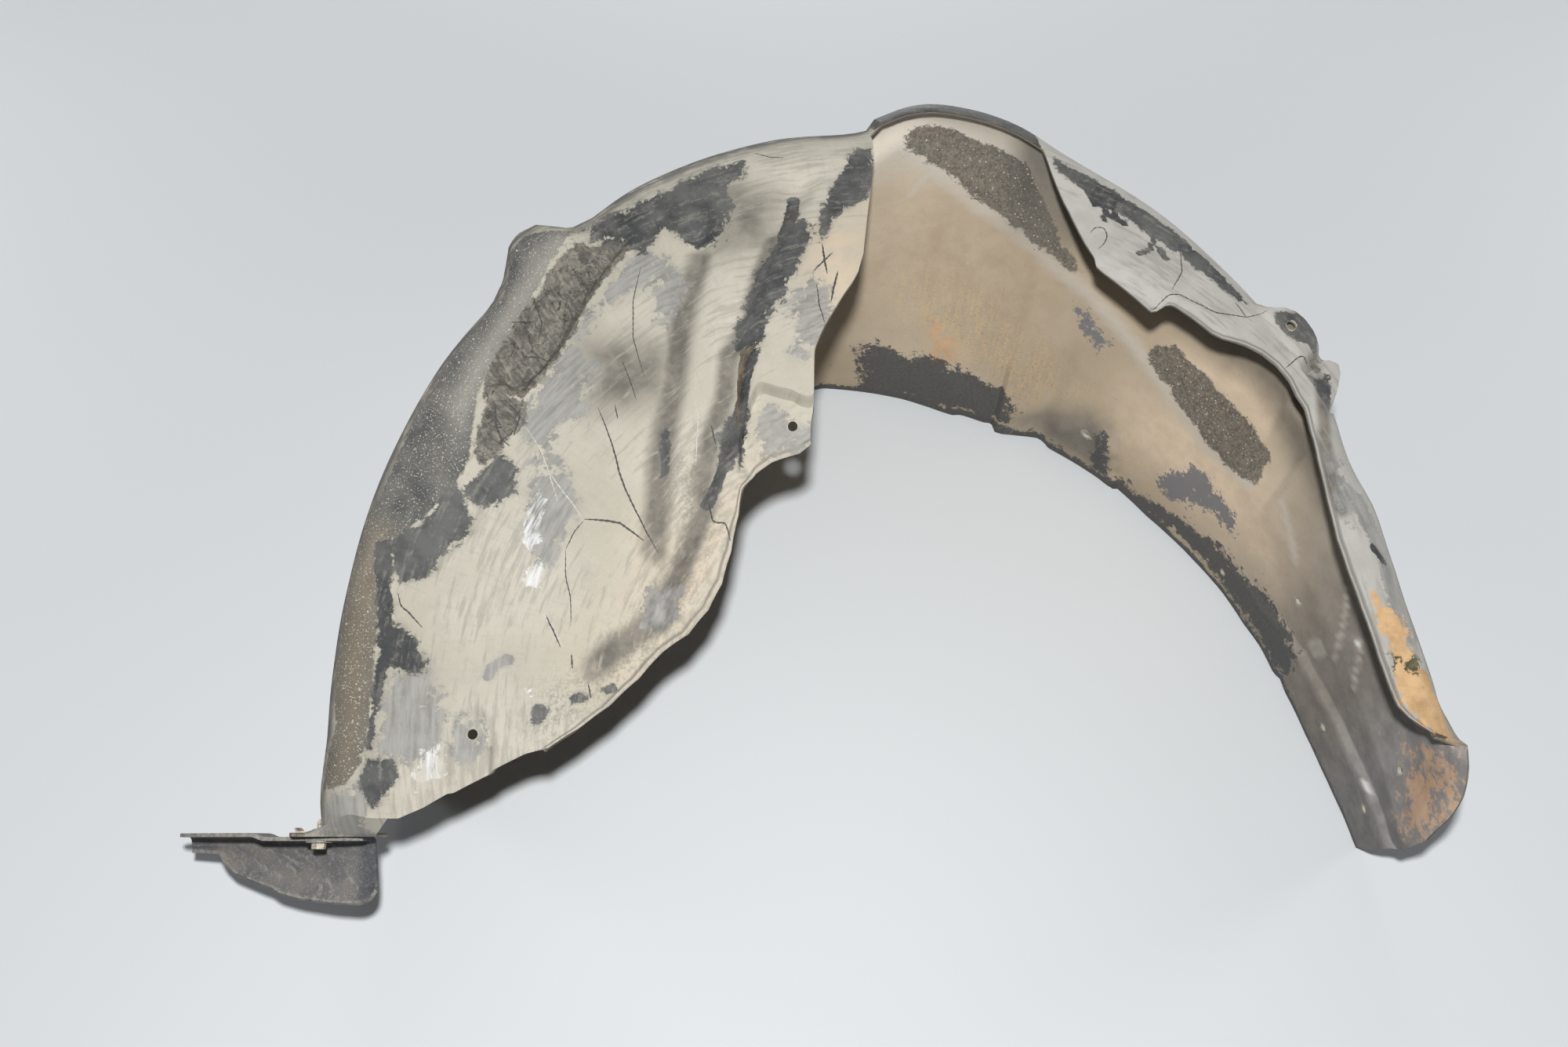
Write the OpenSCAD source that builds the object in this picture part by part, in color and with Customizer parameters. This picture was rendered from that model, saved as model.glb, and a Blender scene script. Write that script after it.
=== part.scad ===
// Front wheel arch liner with its small wheel air deflector, lying on the fender edge.
// X runs across the two legs, Y towards the crown of the arch, Z along the wheel axis.

/* [Arch] */
// radius of the arch about the wheel centre, measured at the fender edge
arch_r = 350; // [250:1:450]
// height of the side wall above the fender edge, level with the wheel centre
wall_h = 203; // [120:1:300]
// thickness of the moulded sheet
sheet_t = 2.5; // [1.5:0.1:5]
// outward bulge of the band between its ridge and the side wall
bulge_d = 7; // [0:1:30]
// drop of the rounded shoulder between side wall and band
shoulder_d = 15; // [4:1:30]
// depth of the step above the fender flange
flange_d = 5; // [0:0.5:12]
// outward lip at the fender edge
lip_d = 3; // [0:0.5:8]
// rise of the three sided screw pad on the band
pad_d = 4; // [0:0.5:10]

/* [Side wall] */
// depth of the two long valleys in the large side wall
valley_d = 6; // [0:0.5:15]
// half width of the valleys
valley_w = 15; // [6:1:30]
// depth of the pocket next to the shoulder
pocket_d = 7; // [0:0.5:15]
// drop of the three sided fixing tab
tab_d = 9; // [0:0.5:20]
// hump of the large side wall beside the strut opening
hump_d = 33; // [0:1:50]
// reach of that hump
hump_w = 62; // [20:1:120]
// width of the turned lip left along the strut opening
rim_lip_w = 9; // [4:1:20]
// radius of the round seat sunk around the lower fixing hole
seat_r = 15; // [8:0.5:25]
// depth of that seat
seat_d = 4; // [0:0.5:10]
// flare of the right foot's outer corner
foot_flare = 9; // [0:1:30]
// reach of the fixing lugs beyond the shoulder
lug_d = 20; // [0:1:50]
// how far the lower lug of the narrow wall lies below the wall
lug_drop = 16; // [0:1:30]
// how far the pad of the upper lug stands proud
lug_lift = 3; // [0:0.5:8]
// height of the turned edge of the narrow wall
edge_lip_d = 2; // [0:0.5:6]
// width of that turned edge
edge_lip_w = 5; // [2:0.5:12]
// outward roll of the right foot's end
roll_d = 4; // [0:0.5:10]

/* [Fixing holes] */
// radius of the screw holes in the side wall
hole_r = 3.25; // [1.5:0.05:8]
// radius of the screw holes in the band
flange_hole_r = 3.1; // [1.5:0.05:8]

/* [Deflector] */
// width of the deflector along its plate
defl_w = 142; // [80:1:260]
// height of the upright plate
plate_h = 40; // [20:1:80]
// reach of the curved flap
flap_w = 39; // [15:1:90]
// fall of the deflector from its inner to its outer end
defl_fall = 58; // [0:1:120]
// distance of the screw below the upper edge of the liner's foot flange
screw_drop = 20; // [10:0.5:40]
// height of the liner's foot flange
foot_h = 52; // [20:1:90]

/* [Screw] */
// radius of the thread
thread_r = 2.2; // [1:0.1:5]
// length of thread beyond the clip
thread_l = 4; // [2:0.5:30]
// width of the hex head across its flats
head_af = 8; // [5:0.1:16]
// height of the hex head
head_h = 4; // [2:0.1:10]
// radius of the washer
washer_r = 8; // [4:0.1:16]
// thickness of the washer
washer_t = 1.2; // [0.5:0.1:3]
// thickness of the sheet steel clip
clip_t = 1; // [0.4:0.1:2.5]
// length of the clip
clip_l = 30; // [14:1:50]
// width of the clip
clip_w = 16; // [8:1:30]

/* [Hidden] */
$fn = 36;

// rise of the side wall per unit of distance towards the crown
wall_rise_share = 0.26;

// stations round the arch, in degrees at the shoulder
right_end_angle = -2.8;
opening_start_angle = 74.5;
opening_end_angle = 91.5;
left_end_angle = 190.4;
right_count = 35;
opening_count = 6;
// stations of the right leg, closer together at the foot's end and at the lugs
right_stations = [[0, right_end_angle], [1, -1.8], [14, 33.8], [26, 47.2],
    [right_count, opening_start_angle]];
left_count = 42;
// stations of the large wall, closer together at the sunk seat
left_stations = [[0, opening_end_angle], [33, 174], [left_count, left_end_angle]];
foot_count = 3;
j0 = right_count;
j1 = right_count + opening_count;
j2 = right_count + opening_count + left_count;
j3 = j2 + foot_count;
band_count = 15;
wall_count = 19;
right_row_count = 8;
opening_row_count = 2;
tab_row_count = 15;
foot_row_count = 7;

// shoulder radius by angle, as shares of arch_r
shoulder_shares = [[-6, 0.998], [-3, 0.983], [0, 0.978], [3, 0.972], [7, 0.961], [12, 0.953], [18, 0.957],
    [22.6, 0.967], [25.3, 0.963], [28, 0.966], [30.6, 0.979], [33, 0.997], [39, 1.011], [46, 1.032], [53, 1.051], [60, 1.075], [68, 1.097],
    [72, 1.114], [76, 1.144], [80, 1.159], [85, 1.165], [88, 1.152], [91, 1.12], [94, 1.113],
    [100, 1.121], [108, 1.119], [116, 1.113], [123, 1.092], [130, 1.074], [136, 1.072],
    [142, 1.065], [150, 1.048], [157, 1.036], [166, 1.02], [174, 1.012], [182, 1.01],
    [188, 1.026], [192, 1.024]];
// fender edge radius by angle, as shares of arch_r
edge_shares = [[-6, 1.03], [-4.4, 1.021], [-2.3, 1.007], [0.1, 0.995], [3.2, 0.979], [6.3, 0.967],
    [10.7, 0.956], [16.4, 0.95], [18.3, 0.954], [19.2, 0.946], [23, 0.95], [26.9, 0.947], [32.4, 0.953],
    [38.5, 0.955], [43, 0.958], [47, 0.962], [52, 0.977], [55.5, 0.988], [59.3, 0.995], [63.6, 1.003],
    [64.4, 1.014], [65.5, 1.019], [68.2, 1.006], [71.2, 0.993], [71.7, 1.009], [73.1, 1.003], [76.9, 1.011],
    [77.1, 1.003], [79.2, 1.009], [84.7, 1.032], [90, 1.048], [95.2, 1.063], [110, 1.03], [130, 1.0],
    [160, 0.985], [192, 0.99]];
// inner edge radius of the side wall by angle, as shares of arch_r
inner_shares = [[-3, 1.0], [-2.6, 0.959], [-1.8, 0.935], [-0.8, 0.912], [0.5, 0.894], [2.7, 0.884],
    [5.9, 0.874], [8.6, 0.87], [11.9, 0.865], [16.2, 0.863], [20.1, 0.867], [24.6, 0.882], [29, 0.902],
    [32.3, 0.923], [34.7, 0.941], [36.3, 0.943], [38.1, 0.952], [40.2, 0.954], [42.3, 0.947], [44.1, 0.934],
    [46.5, 0.909], [47.9, 0.902], [50.8, 0.902], [53.3, 0.9], [53.9, 0.895], [54.3, 0.885], [54.6, 0.87],
    [55.1, 0.864], [56.3, 0.867], [60.4, 0.88], [62.7, 0.888], [64.3, 0.898], [66, 0.89], [69, 0.887],
    [72.3, 0.86], [76, 0.84], [91.4, 0.626], [107, 0.483], [110, 0.477], [116, 0.487],
    [120, 0.486], [125, 0.469], [129, 0.436], [136, 0.399], [144, 0.375], [152, 0.371],
    [160, 0.386], [166, 0.42], [173, 0.453], [179, 0.5], [183, 0.552], [186, 0.61]];
// reach of the fixing lugs by angle, as shares of lug_d
lug_shares = [[33, 0], [34, 0.35], [35, 0.8], [36.2, 1.25], [37.1, 1.4], [38, 1.2], [38.8, 0.75],
    [39.6, 0.68], [40.6, 0.75], [42, 0.75], [43.2, 0.65], [44.2, 0.45], [45, 0.15], [45.8, 0],
    [121, 0], [123.4, 0.2], [126, 1.1], [128, 1.3], [129.3, 1.2], [130.6, 0.8], [132, 0.4], [134, 0.1],
    [135.5, 0]];
// level of the narrow wall's shoulder, of its lower lug and of its upper lug by angle
right_drop_shares = [[33.8, 0.4], [34.8, 0.1], [46, 0.1], [46.8, 0.4]];
lug_drop_shares = [[33, 0], [33.8, 1], [38.4, 1], [39.2, 0]];
lug_lift_shares = [[39.2, 0], [39.8, 1], [45, 1], [46, 0]];
// angle of the large wall's edge at the strut opening, past opening_end_angle, by share of width
open_turns = [[0, 0], [0.1, -0.5], [0.2, -0.5], [0.35, 0.1], [0.5, 0.9], [0.62, 1.6],
    [0.69, 2.6], [0.72, 3.6], [0.77, 6.6], [0.8, 9.6], [0.82, 11.2], [0.87, 12.2],
    [0.94, 13.8], [1, 15.7]];
// angle of the large wall's edge at the foot, past left_end_angle, by share of width
foot_turns = [[0, 0], [0.14, 0], [0.22, 0.8], [0.34, 1.5], [0.45, 0.9], [0.6, -0.6], [0.75, -2.1],
    [0.9, -3.9], [1, -4.4]];
// width of the gritty shoulder strip by angle, as shares of arch_r
strip_shares = [[91, 0.09], [118, 0.09], [124, 0.07], [130, 0.075], [136, 0.08], [142, 0.1],
    [150, 0.13], [156, 0.12], [160, 0.075], [170, 0.075], [180, 0.07], [191, 0.07]];
// start of the sunk fixing tab by angle, as a share of the wall's width
tab_shares = [[91, 0.9], [105, 0.93], [108, 0.86], [113, 0.79], [118, 0.865], [123, 0.95],
    [127, 0.93], [140, 0.88], [190, 0.88]];
// how far the tab has sunk by angle
tab_drop_shares = [[104, 0.9], [106, 1], [121, 1], [124, 0.2], [127, 0]];
// height of the band's inner ridge by angle, as a share of the band's height
ridge_shares = [[-5, 0.48], [30, 0.48], [37, 0.5], [42, 0.485], [47, 0.505], [52, 0.51], [56, 0.536],
    [58.4, 0.569], [62.8, 0.6], [65.6, 0.64], [69, 0.68], [74, 0.712], [78, 0.752], [84, 0.832], [88, 0.89],
    [100, 0.8], [120, 0.6], [190, 0.55]];
// height of the step above the fender flange of the right leg by angle, as a share of the band's height
seam_shares = [[-3, 0.36], [0, 0.35], [3, 0.325], [6, 0.297], [10, 0.28], [15, 0.245], [20, 0.222],
    [26, 0.18], [34, 0.17]];
// height of the three sided screw pad by angle, as a share of the band's height
pad_shares = [[53, 0], [55.2, 0.173], [58.7, 0.251], [64.5, 0.105], [71.4, 0.025], [72, 0]];
// turn of the right foot's end by share of height, in degrees
end_turns = [[0, -1.7], [0.2, -3.9], [0.45, -6], [0.6, -6.3], [0.75, -5.2], [0.85, -3.9],
    [0.95, -1.9], [1, 0]];
// turn of the left foot's end by share of height, in degrees
left_turns = [[0, -14], [0.3, -11], [0.6, -7], [0.8, -4], [0.93, -1.6], [1, 0]];
// rows of the band, as shares of its height
row_shares = [0, 0.018, 0.07, 0.13, 0.17, 0.21, 0.3, 0.4, 0.5, 0.6, 0.7, 0.79, 0.87, 0.93,
    0.97, 1];
// middle lines of the valleys, as shares of arch_r
valley_a_shares = [[-0.35, 0.86], [-0.383, 0.7], [-0.397, 0.6], [-0.416, 0.49], [-0.42, 0.34]];
valley_b_shares = [[-0.16, 0.97], [-0.22, 0.86], [-0.255, 0.77], [-0.278, 0.69], [-0.283, 0.56],
    [-0.303, 0.49], [-0.337, 0.42], [-0.357, 0.35], [-0.39, 0.28], [-0.417, 0.17]];
// corners of the pocket beside the shoulder strip, as shares of arch_r
pocket_shares = [[-0.56, 0.91], [-0.48, 0.87], [-0.55, 0.77], [-0.61, 0.65], [-0.68, 0.565],
    [-0.75, 0.6], [-0.71, 0.68], [-0.65, 0.79]];

function soft(a, t, w) = (lookup(a - w, t) + 2 * lookup(a, t) + lookup(a + w, t)) / 4;
function clamp(x) = min(1, max(0, x));
function ease(x) = let (c = clamp(x)) c * c * (3 - 2 * c);
function bump(x) = abs(x) < 1 ? pow(1 - x * x, 2) : 0;
function seg(p, a, b) = let (d = b - a, t = clamp(((p - a) * d) / (d * d))) norm(p - a - t * d);
function path_gap(p, c) = min([for (k = [0:len(c) - 2]) seg(p, c[k] * arch_r, c[k + 1] * arch_r)]);
function side(p, a, b) = (b[0] - a[0]) * (p[1] - a[1]) - (b[1] - a[1]) * (p[0] - a[0]);
function inside(p, c) = min([for (k = [0:len(c) - 1])
    let (a = c[k] * arch_r, b = c[(k + 1) % len(c)] * arch_r) side(p, b, a) / norm(b - a)]);

// places of the fixing holes on the side wall
tab_at = [-0.1795, 0.4835] * arch_r;
seat_at = [-0.744, -0.037] * arch_r;
lug_at = [0.762, 0.696] * arch_r;
hump_at = [-0.06, 0.64] * arch_r;

function rim_r(a) = arch_r * soft(a, shoulder_shares, 1.5);
function lug(a) = lookup(a, lug_shares);
function wall_z(p) = wall_h + wall_rise_share * p[1];
function hump(p) = hump_d * exp(-pow(norm(p - hump_at) / hump_w, 2) / 2)
    + 0.3 * hump_d * ease((p[0] - 0.2 * arch_r) / (0.3 * arch_r))
    * ease((p[1] - 0.3 * arch_r) / (0.4 * arch_r)) * (1 - ease((norm(p) / arch_r - 0.9) / 0.12));
function relief(p) = -valley_d * (0.8 * bump(path_gap(p, valley_a_shares) / valley_w)
    + bump(path_gap(p, valley_b_shares) / valley_w))
    - pocket_d * ease((inside(p, pocket_shares)) / (0.02 * arch_r))
    - seat_d * ease((seat_r - min(norm(p - seat_at), seg(p, seat_at, seat_at - [0, 2 * seat_r])))
    / (0.3 * seat_r));

// share of the wall's width at row k of the side wall
function wall_s(k, a, w, open) = k <= 0 ? 0
    : k <= 2 ? k * 0.5 * rim_lip_w / w
    : open > 0.5 ? (rim_lip_w + (w - rim_lip_w) * (k - 2) / (right_row_count - 2)) / w
    : let (s4 = arch_r * soft(a, strip_shares, 3) / w, st = soft(a, tab_shares, 0.6))
        k == 3 ? (rim_lip_w / w + s4) / 2
    : k <= tab_row_count ? s4 + (st - s4) * (k - 4) / (tab_row_count - 4)
    : let (s5 = st + 1.2 * sheet_t / w)
        s5 + (1 - s5) * (k - tab_row_count - 1) / (wall_count - tab_row_count - 1);

function station(j) = j <= j0 ? lookup(j, right_stations)
    : j <= j1 ? opening_start_angle + (opening_end_angle - opening_start_angle) * (j - j0) / opening_count
    : lookup(min(j - j1, left_count), left_stations);

// point k rows in from the shoulder, at station j
function wall_at(k, j) = let (
    a = station(j), right = j < j1 ? 1 : 0,
    u = clamp((a - opening_end_angle) / (left_end_angle - opening_end_angle)),
    s1 = wall_s(k, a, max(arch_r * (right ? 0.12 : 0.3), rim_r(a) - arch_r * lookup(a, inner_shares)), right),
    sg = right ? clamp(s1) : s1,
    b = right ? a - 11 * sg * ease((a - 34) / (opening_start_angle - 34))
        : a + lookup(sg, open_turns) * (1 - u) + lookup(sg, foot_turns) * u,
    ro = rim_r(b), ri = arch_r * lookup(b, inner_shares),
    s = wall_s(k, b, ro - ri, right),
    r = ro + (ri - ro) * s + lug_d * lug(b) * (1 - ease(s * 2.5)),
    p = r * [cos(b), sin(b)],
    strip = right ? 0.04 * arch_r : arch_r * soft(b, strip_shares, 3),
    down = shoulder_d * (right ? lookup(b, right_drop_shares) : 1)
        * pow(1 - clamp((ro - r + lug_d * lug(b)) / strip), 2)
        + (right ? lug_drop * lookup(b, lug_drop_shares) * ease((r - ro) / (0.4 * lug_d) + 0.75)
            - lug_lift * lookup(b, lug_lift_shares) * ease((r - ro) / (0.2 * lug_d) + 1.5)
            - edge_lip_d * ease(((s - 1) * (ro - ri) + edge_lip_w) * 2 / edge_lip_w)
            * ease((33 - b) / 3) : 0),
    tab = right ? 0 : tab_d * lookup(b, tab_drop_shares) * (k > tab_row_count ? 1 : 0)
    ) [p[0], p[1], wall_z(p) + hump(p) - down - tab + (right ? 0 : relief(p))];

// height of band row i at angle a: the rows beside the step follow it
function row_at(i, a) = let (v = row_shares[i])
    v + (lookup(a, seam_shares) - 0.19) * lookup(v, [[0.07, 0], [0.17, 1], [0.21, 1], [0.5, 0]]);
// point on the band, share v of the way up at station j
function band_at(v, j) = let (
    top = wall_at(0, j), a = station(j),
    b = a + lookup(v, end_turns) * pow(1 - clamp((a - right_end_angle) / 30), 2)
        + lookup(v, left_turns) * pow(clamp((a - 165) / (left_end_angle - 165)), 2),
    vr = lookup(a, ridge_shares),
    rt = norm([top[0], top[1]]) - lug_d * lug(a),
    re = arch_r * soft(a, edge_shares, 0.3),
    r = re + sheet_t + (rt - re - sheet_t) * ease(v)
        - lip_d * clamp(v / 0.02) * (1 - v)
        + foot_flare * ease((2 - a) / 5) * bump((v - 0.92) / 0.3)
        + roll_d * ease(-a - 1.8) * ease((v - 0.3) / 0.1)
        + flange_d * ease((34 - a) / 10) * (ease((v - lookup(a, seam_shares)) / 0.03 + 0.5) - 0.8 * v)
        - pad_d * ease((lookup(a, pad_shares) - v) / 0.02)
        + bulge_d * (v > vr ? sin(180 * (v - vr) / (1 - vr)) : 0)
        + lug_d * lug(a) * ease((v - 0.84) / 0.12)
    ) [r * cos(b), r * sin(b), top[2] * v];

// foot flange hanging from the large wall's end
lean_angle = 16;
foot_dir = [0, sin(lean_angle), -cos(lean_angle)];
foot_y = -0.2 * arch_r;
foot_top = wall_h + wall_rise_share * foot_y - 0.045 * arch_r;
function foot_at(k, m) = let (
    s = k / (foot_row_count - 1), p = wall_at(k, j2),
    q = [arch_r * (-1.09 + 0.16 * s), foot_y, foot_top] + (m - 1) * foot_h / (foot_count - 1) * foot_dir)
    m == 1 ? [(p[0] + 2 * q[0]) / 3, q[1] + 0 * p[1], q[2]] : q;

grid = [for (i = [0:band_count + wall_count]) [for (j = [0:j3])
    j > j2 ? foot_at(max(0, min(foot_row_count - 1, i - band_count)), j - j2)
    : i < band_count ? band_at(row_at(i, station(j)), j) : wall_at(i - band_count, j)]];
function cell(i, j) = j >= 0 && i >= 0 && i < band_count + wall_count && j < j3 && (
    j >= j2 ? (i >= band_count && i < band_count + foot_row_count - 1)
    : i < band_count ? true
    : j < j0 ? i < band_count + right_row_count : j < j1 ? i < band_count + opening_row_count : true);

// sheet of thickness t below a grid of points, with a cell map for its outline
module sheet(g, t, rows, cols) {
    ok = [for (i = [0:rows]) [for (j = [0:cols]) [for (d = [[-1, -1], [-1, 0], [0, 0], [0, -1]])
        cell_of(g, i + d[0], j + d[1], rows, cols) ? 1 : 0]]];
    used = [for (i = [0:rows]) for (j = [0:cols]) if (ok[i][j] * [1, 1, 1, 1] > 0) [i, j]];
    nrm = [for (c = used) let (i = c[0], j = c[1], o = ok[i][j],
        up = o[2] + o[3] > 0 ? 1 : 0, dn = o[0] + o[1] > 0 ? 1 : 0,
        rt = o[1] + o[2] > 0 ? 1 : 0, lf = o[0] + o[3] > 0 ? 1 : 0,
        a = g[i + up][j] - g[i - dn][j], b = g[i][j + rt] - g[i][j - lf],
        n = cross(b, a)) n / norm(n)];
    nu = len(used);
    id = [for (i = [0:rows]) [for (j = [0:cols]) 0]];
    sums = count_rows(ok, rows, cols);
    // the sheet's first row stays level, so that it stands on its edge
    pts = concat([for (c = used) g[c[0]][c[1]]],
        [for (k = [0:nu - 1]) let (c = used[k], m = c[0] == 0 && t < 0 ? level(nrm[k]) : nrm[k])
            g[c[0]][c[1]] + t * m]);
    index = [for (i = [0:rows]) row_index(ok[i], sums[i], cols)];
    faces = [for (i = [0:rows - 1]) for (j = [0:cols - 1]) if (cell_of(g, i, j, rows, cols))
        let (p = index[i][j], q = index[i][j + 1], r = index[i + 1][j + 1], s = index[i + 1][j])
        for (f = concat(
            [[p, r, q], [p, s, r], [nu + p, nu + q, nu + r], [nu + p, nu + r, nu + s]],
            cell_of(g, i - 1, j, rows, cols) ? [] : [[p, q, nu + q], [p, nu + q, nu + p]],
            cell_of(g, i + 1, j, rows, cols) ? [] : [[r, s, nu + s], [r, nu + s, nu + r]],
            cell_of(g, i, j - 1, rows, cols) ? [] : [[s, p, nu + p], [s, nu + p, nu + s]],
            cell_of(g, i, j + 1, rows, cols) ? [] : [[q, r, nu + r], [q, nu + r, nu + q]])) f];
    polyhedron(pts, t < 0 ? faces : [for (f = faces) [f[2], f[1], f[0]]], convexity = 8);
}
function level(n) = [n[0], n[1], 0] / norm([n[0], n[1]]);
function cell_of(g, i, j, rows, cols) = rows == band_count + wall_count ? cell(i, j)
    : i >= 0 && j >= 0 && i < rows && j < cols;
function count_row(o, cols) = [for (j = 0, s = 0; j <= cols;
    s = s + (o[j] * [1, 1, 1, 1] > 0 ? 1 : 0), j = j + 1) s];
function total(o, cols) = len([for (j = [0:cols]) if (o[j] * [1, 1, 1, 1] > 0) 1]);
function count_rows(ok, rows, cols) = [for (i = 0, s = 0; i <= rows;
    s = s + total(ok[i], cols), i = i + 1) s];
function row_index(o, start, cols) = [for (c = count_row(o, cols)) start + c];

// screw holes in the band: angle, share of the way up, and share of the flange holes' radius
band_hole_shares = [[59.1, 0.168, 1], [22.9, 0.366, 1], [9.9, 0.184, 1], [0.9, 0.258, 1], [2.7, 0.574, 1],
    [33.5, 0.103, 0.7]];

// straight hole through the sheet at p, along d
module bore(p, d, r, l) {
    translate(p) rotate([0, acos(d[2] / norm(d)), atan2(d[1], d[0])])
        translate([0, 0, -l]) cylinder(r = r, h = 2 * l);
}
// square hole through the side wall at p
function wall_top(p) = wall_z(p) + hump(p) + relief(p);
module wall_bore(p, r) {
    e = seat_r / 2;
    bore([p[0], p[1], wall_top(p) + (p == lug_at ? lug_lift : 0)],
        [wall_top(p - [e, 0]) - wall_top(p + [e, 0]), wall_top(p - [0, e]) - wall_top(p + [0, e]), 2 * e],
        r, 0.05 * arch_r);
}
// square hole through the band at angle a, share v of the way up
module band_bore(a, v, r) {
    j = lookup(a, [for (s = right_stations) [s[1], s[0]]]);
    bore(band_at(v, j), cross(band_at(v, j + 0.25) - band_at(v, j - 0.25),
        band_at(v + 0.02, j) - band_at(v - 0.02, j)), r, 0.05 * arch_r);
}

module liner() {
    color([0.24, 0.24, 0.25]) translate(-middle) difference() {
        sheet(grid, -sheet_t, band_count + wall_count, j3);
        wall_bore(tab_at, hole_r);
        wall_bore(seat_at, hole_r);
        wall_bore(lug_at, hole_r);
        for (h = band_hole_shares) band_bore(h[0], h[1], h[2] * flange_hole_r);
        bore(screw_at, foot_n, thread_r + 0.15 * sheet_t, 5 * sheet_t);
    }
}

// the screw goes through the foot flange, square to it
foot_n = [0, -cos(lean_angle), -sin(lean_angle)];
function on_foot(x, z) = let (h = (foot_top - z) / cos(lean_angle)) [x, foot_y, foot_top] + h * foot_dir;
screw_at = [-1.03 * arch_r, foot_y, foot_top] + screw_drop * foot_dir;

// deflector sheet: an upright plate on the foot flange, then the curved flap
flap_shares = [[0, 0.2], [0.17, 0.22], [0.21, 0.45], [0.26, 0.6], [0.43, 0.79], [0.62, 0.93], [0.8, 0.99],
    [0.93, 1], [0.98, 0.93], [1, 0.78]];
plate_shares = [[0, 0.55], [0.06, 0.8], [0.2, 0.92], [0.45, 1], [0.93, 1], [1, 0.8]];
defl_row_count = 13;
defl_col_count = 22;
defl_x0 = -0.946 * arch_r - defl_w;
// share of the deflector's width at the screw, and of the plate's height below it
screw_share = (screw_at[0] - defl_x0) / defl_w;
plate_drop_share = 0.82;
function defl_at(i, j) = let (
    u = j / defl_col_count, x = defl_x0 + u * defl_w,
    low = screw_at[2] - plate_drop_share * plate_h
        - defl_fall * (pow(1 - u, 1.15) - pow(1 - screw_share, 1.15)),
    ph = plate_h * lookup(u, plate_shares),
    base = on_foot(x, low) + sheet_t * (1 - ease((0.52 - u) / 0.07)) * foot_n,
    rb = 2.4 * sheet_t)
    i <= 4 ? base - (rb + (ph - rb) * (4 - i) / 4) * foot_dir
    : i <= 7 ? let (t = 30 * (i - 4))
        base - rb * foot_dir + rb * (1 - cos(t)) * foot_n + rb * sin(t) * foot_dir
    : let (w = max(1.3 * rb, flap_w * soft(u, flap_shares, 0.012)), s = (i - 7) / (defl_row_count - 7),
        f = rb + s * (w - rb))
        base + f * foot_n + (0.15 * w * s * s - 0.22 * w * sin(120 * s)) * [0, 0, 1];

defl_grid = [for (i = [0:defl_row_count]) [for (j = [0:defl_col_count]) defl_at(i, j)]];

// the origin is under the middle of the whole part
spots = concat([for (i = [0:band_count + right_row_count]) for (p = grid[i]) p],
    [for (r = defl_grid) for (p = r) p]);
xs = [for (p = spots) p[0]];
ys = [for (p = spots) p[1]];
middle = [min(xs) + max(xs), min(ys) + max(ys), 0] / 2;

module deflector() {
    color([0.2, 0.2, 0.21]) translate(-middle) difference() {
        sheet(defl_grid, sheet_t, defl_row_count, defl_col_count);
        bore(screw_at, foot_n, thread_r + 0.15 * sheet_t, 5 * sheet_t);
    }
}

// places a piece on the screw's axis: Z runs out of the head, 0 is the deflector's outer face
module on_screw(d) {
    translate(screw_at + d * foot_n - middle) rotate([90 + lean_angle, 0, 0]) children();
}

module washer() {
    color([0.55, 0.55, 0.56]) on_screw(sheet_t) difference() {
        cylinder(r = washer_r, h = washer_t);
        translate([0, 0, -washer_t]) cylinder(r = 1.1 * thread_r, h = 3 * washer_t);
    }
}

module clip() {
    color([0.5, 0.48, 0.44]) on_screw(-sheet_t - clip_t) difference() {
        union() {
            translate([-clip_l / 2, -clip_w / 2, 0]) cube([clip_l, clip_w, clip_t]);
            cylinder(r = 0.3 * clip_w, h = clip_t);
            translate([0, 0, -1.5 * clip_t])
                cylinder(r1 = 1.5 * thread_r, r2 = 2.2 * thread_r, h = 1.6 * clip_t);
        }
        translate([0, 0, -3 * clip_t]) cylinder(r = 1.05 * thread_r, h = 5 * clip_t);
    }
}

module screw() {
    color([0.6, 0.56, 0.48]) on_screw(sheet_t + washer_t) union() {
        cylinder(r = head_af / sqrt(3), h = head_h, $fn = 6);
        translate([0, 0, -washer_t - 3 * sheet_t - thread_l])
            cylinder(r = thread_r, h = washer_t + 3 * sheet_t + thread_l + head_h / 2);
        translate([0, 0, -washer_t - 3 * sheet_t - thread_l - 1.2 * thread_r])
            cylinder(r1 = 0.3 * thread_r, r2 = thread_r, h = 1.2 * thread_r);
    }
}

liner();
deflector();
clip();
washer();
screw();
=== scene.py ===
import bpy, math
import numpy as np
from mathutils.bvhtree import BVHTree
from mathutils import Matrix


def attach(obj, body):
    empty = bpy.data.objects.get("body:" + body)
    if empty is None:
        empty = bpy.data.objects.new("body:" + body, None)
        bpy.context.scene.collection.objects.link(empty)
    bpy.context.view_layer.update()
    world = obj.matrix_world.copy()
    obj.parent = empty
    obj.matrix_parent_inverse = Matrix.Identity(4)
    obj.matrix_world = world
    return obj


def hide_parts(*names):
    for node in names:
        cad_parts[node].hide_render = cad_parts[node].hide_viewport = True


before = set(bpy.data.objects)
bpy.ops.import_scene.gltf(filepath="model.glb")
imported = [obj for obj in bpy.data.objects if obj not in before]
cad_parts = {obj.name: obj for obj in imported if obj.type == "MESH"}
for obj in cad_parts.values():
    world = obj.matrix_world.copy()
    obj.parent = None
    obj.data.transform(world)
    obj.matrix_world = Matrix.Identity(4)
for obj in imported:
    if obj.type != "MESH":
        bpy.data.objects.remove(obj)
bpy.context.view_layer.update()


# ---------------------------------------------------------------- camera
# A camera held about 1.1 m above the table, in front of the open side of the arch. Its lens is
# about 34.5 mm on a sensor 36 mm wide, and it sees a frame 2000 pixels wide.
MIDDLE = np.array([-0.055944, 0.157353, 0.0])      # from the wheel centre to the part's origin
EYE = np.array([-0.067, -0.335, 1.08]) - MIDDLE
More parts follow.
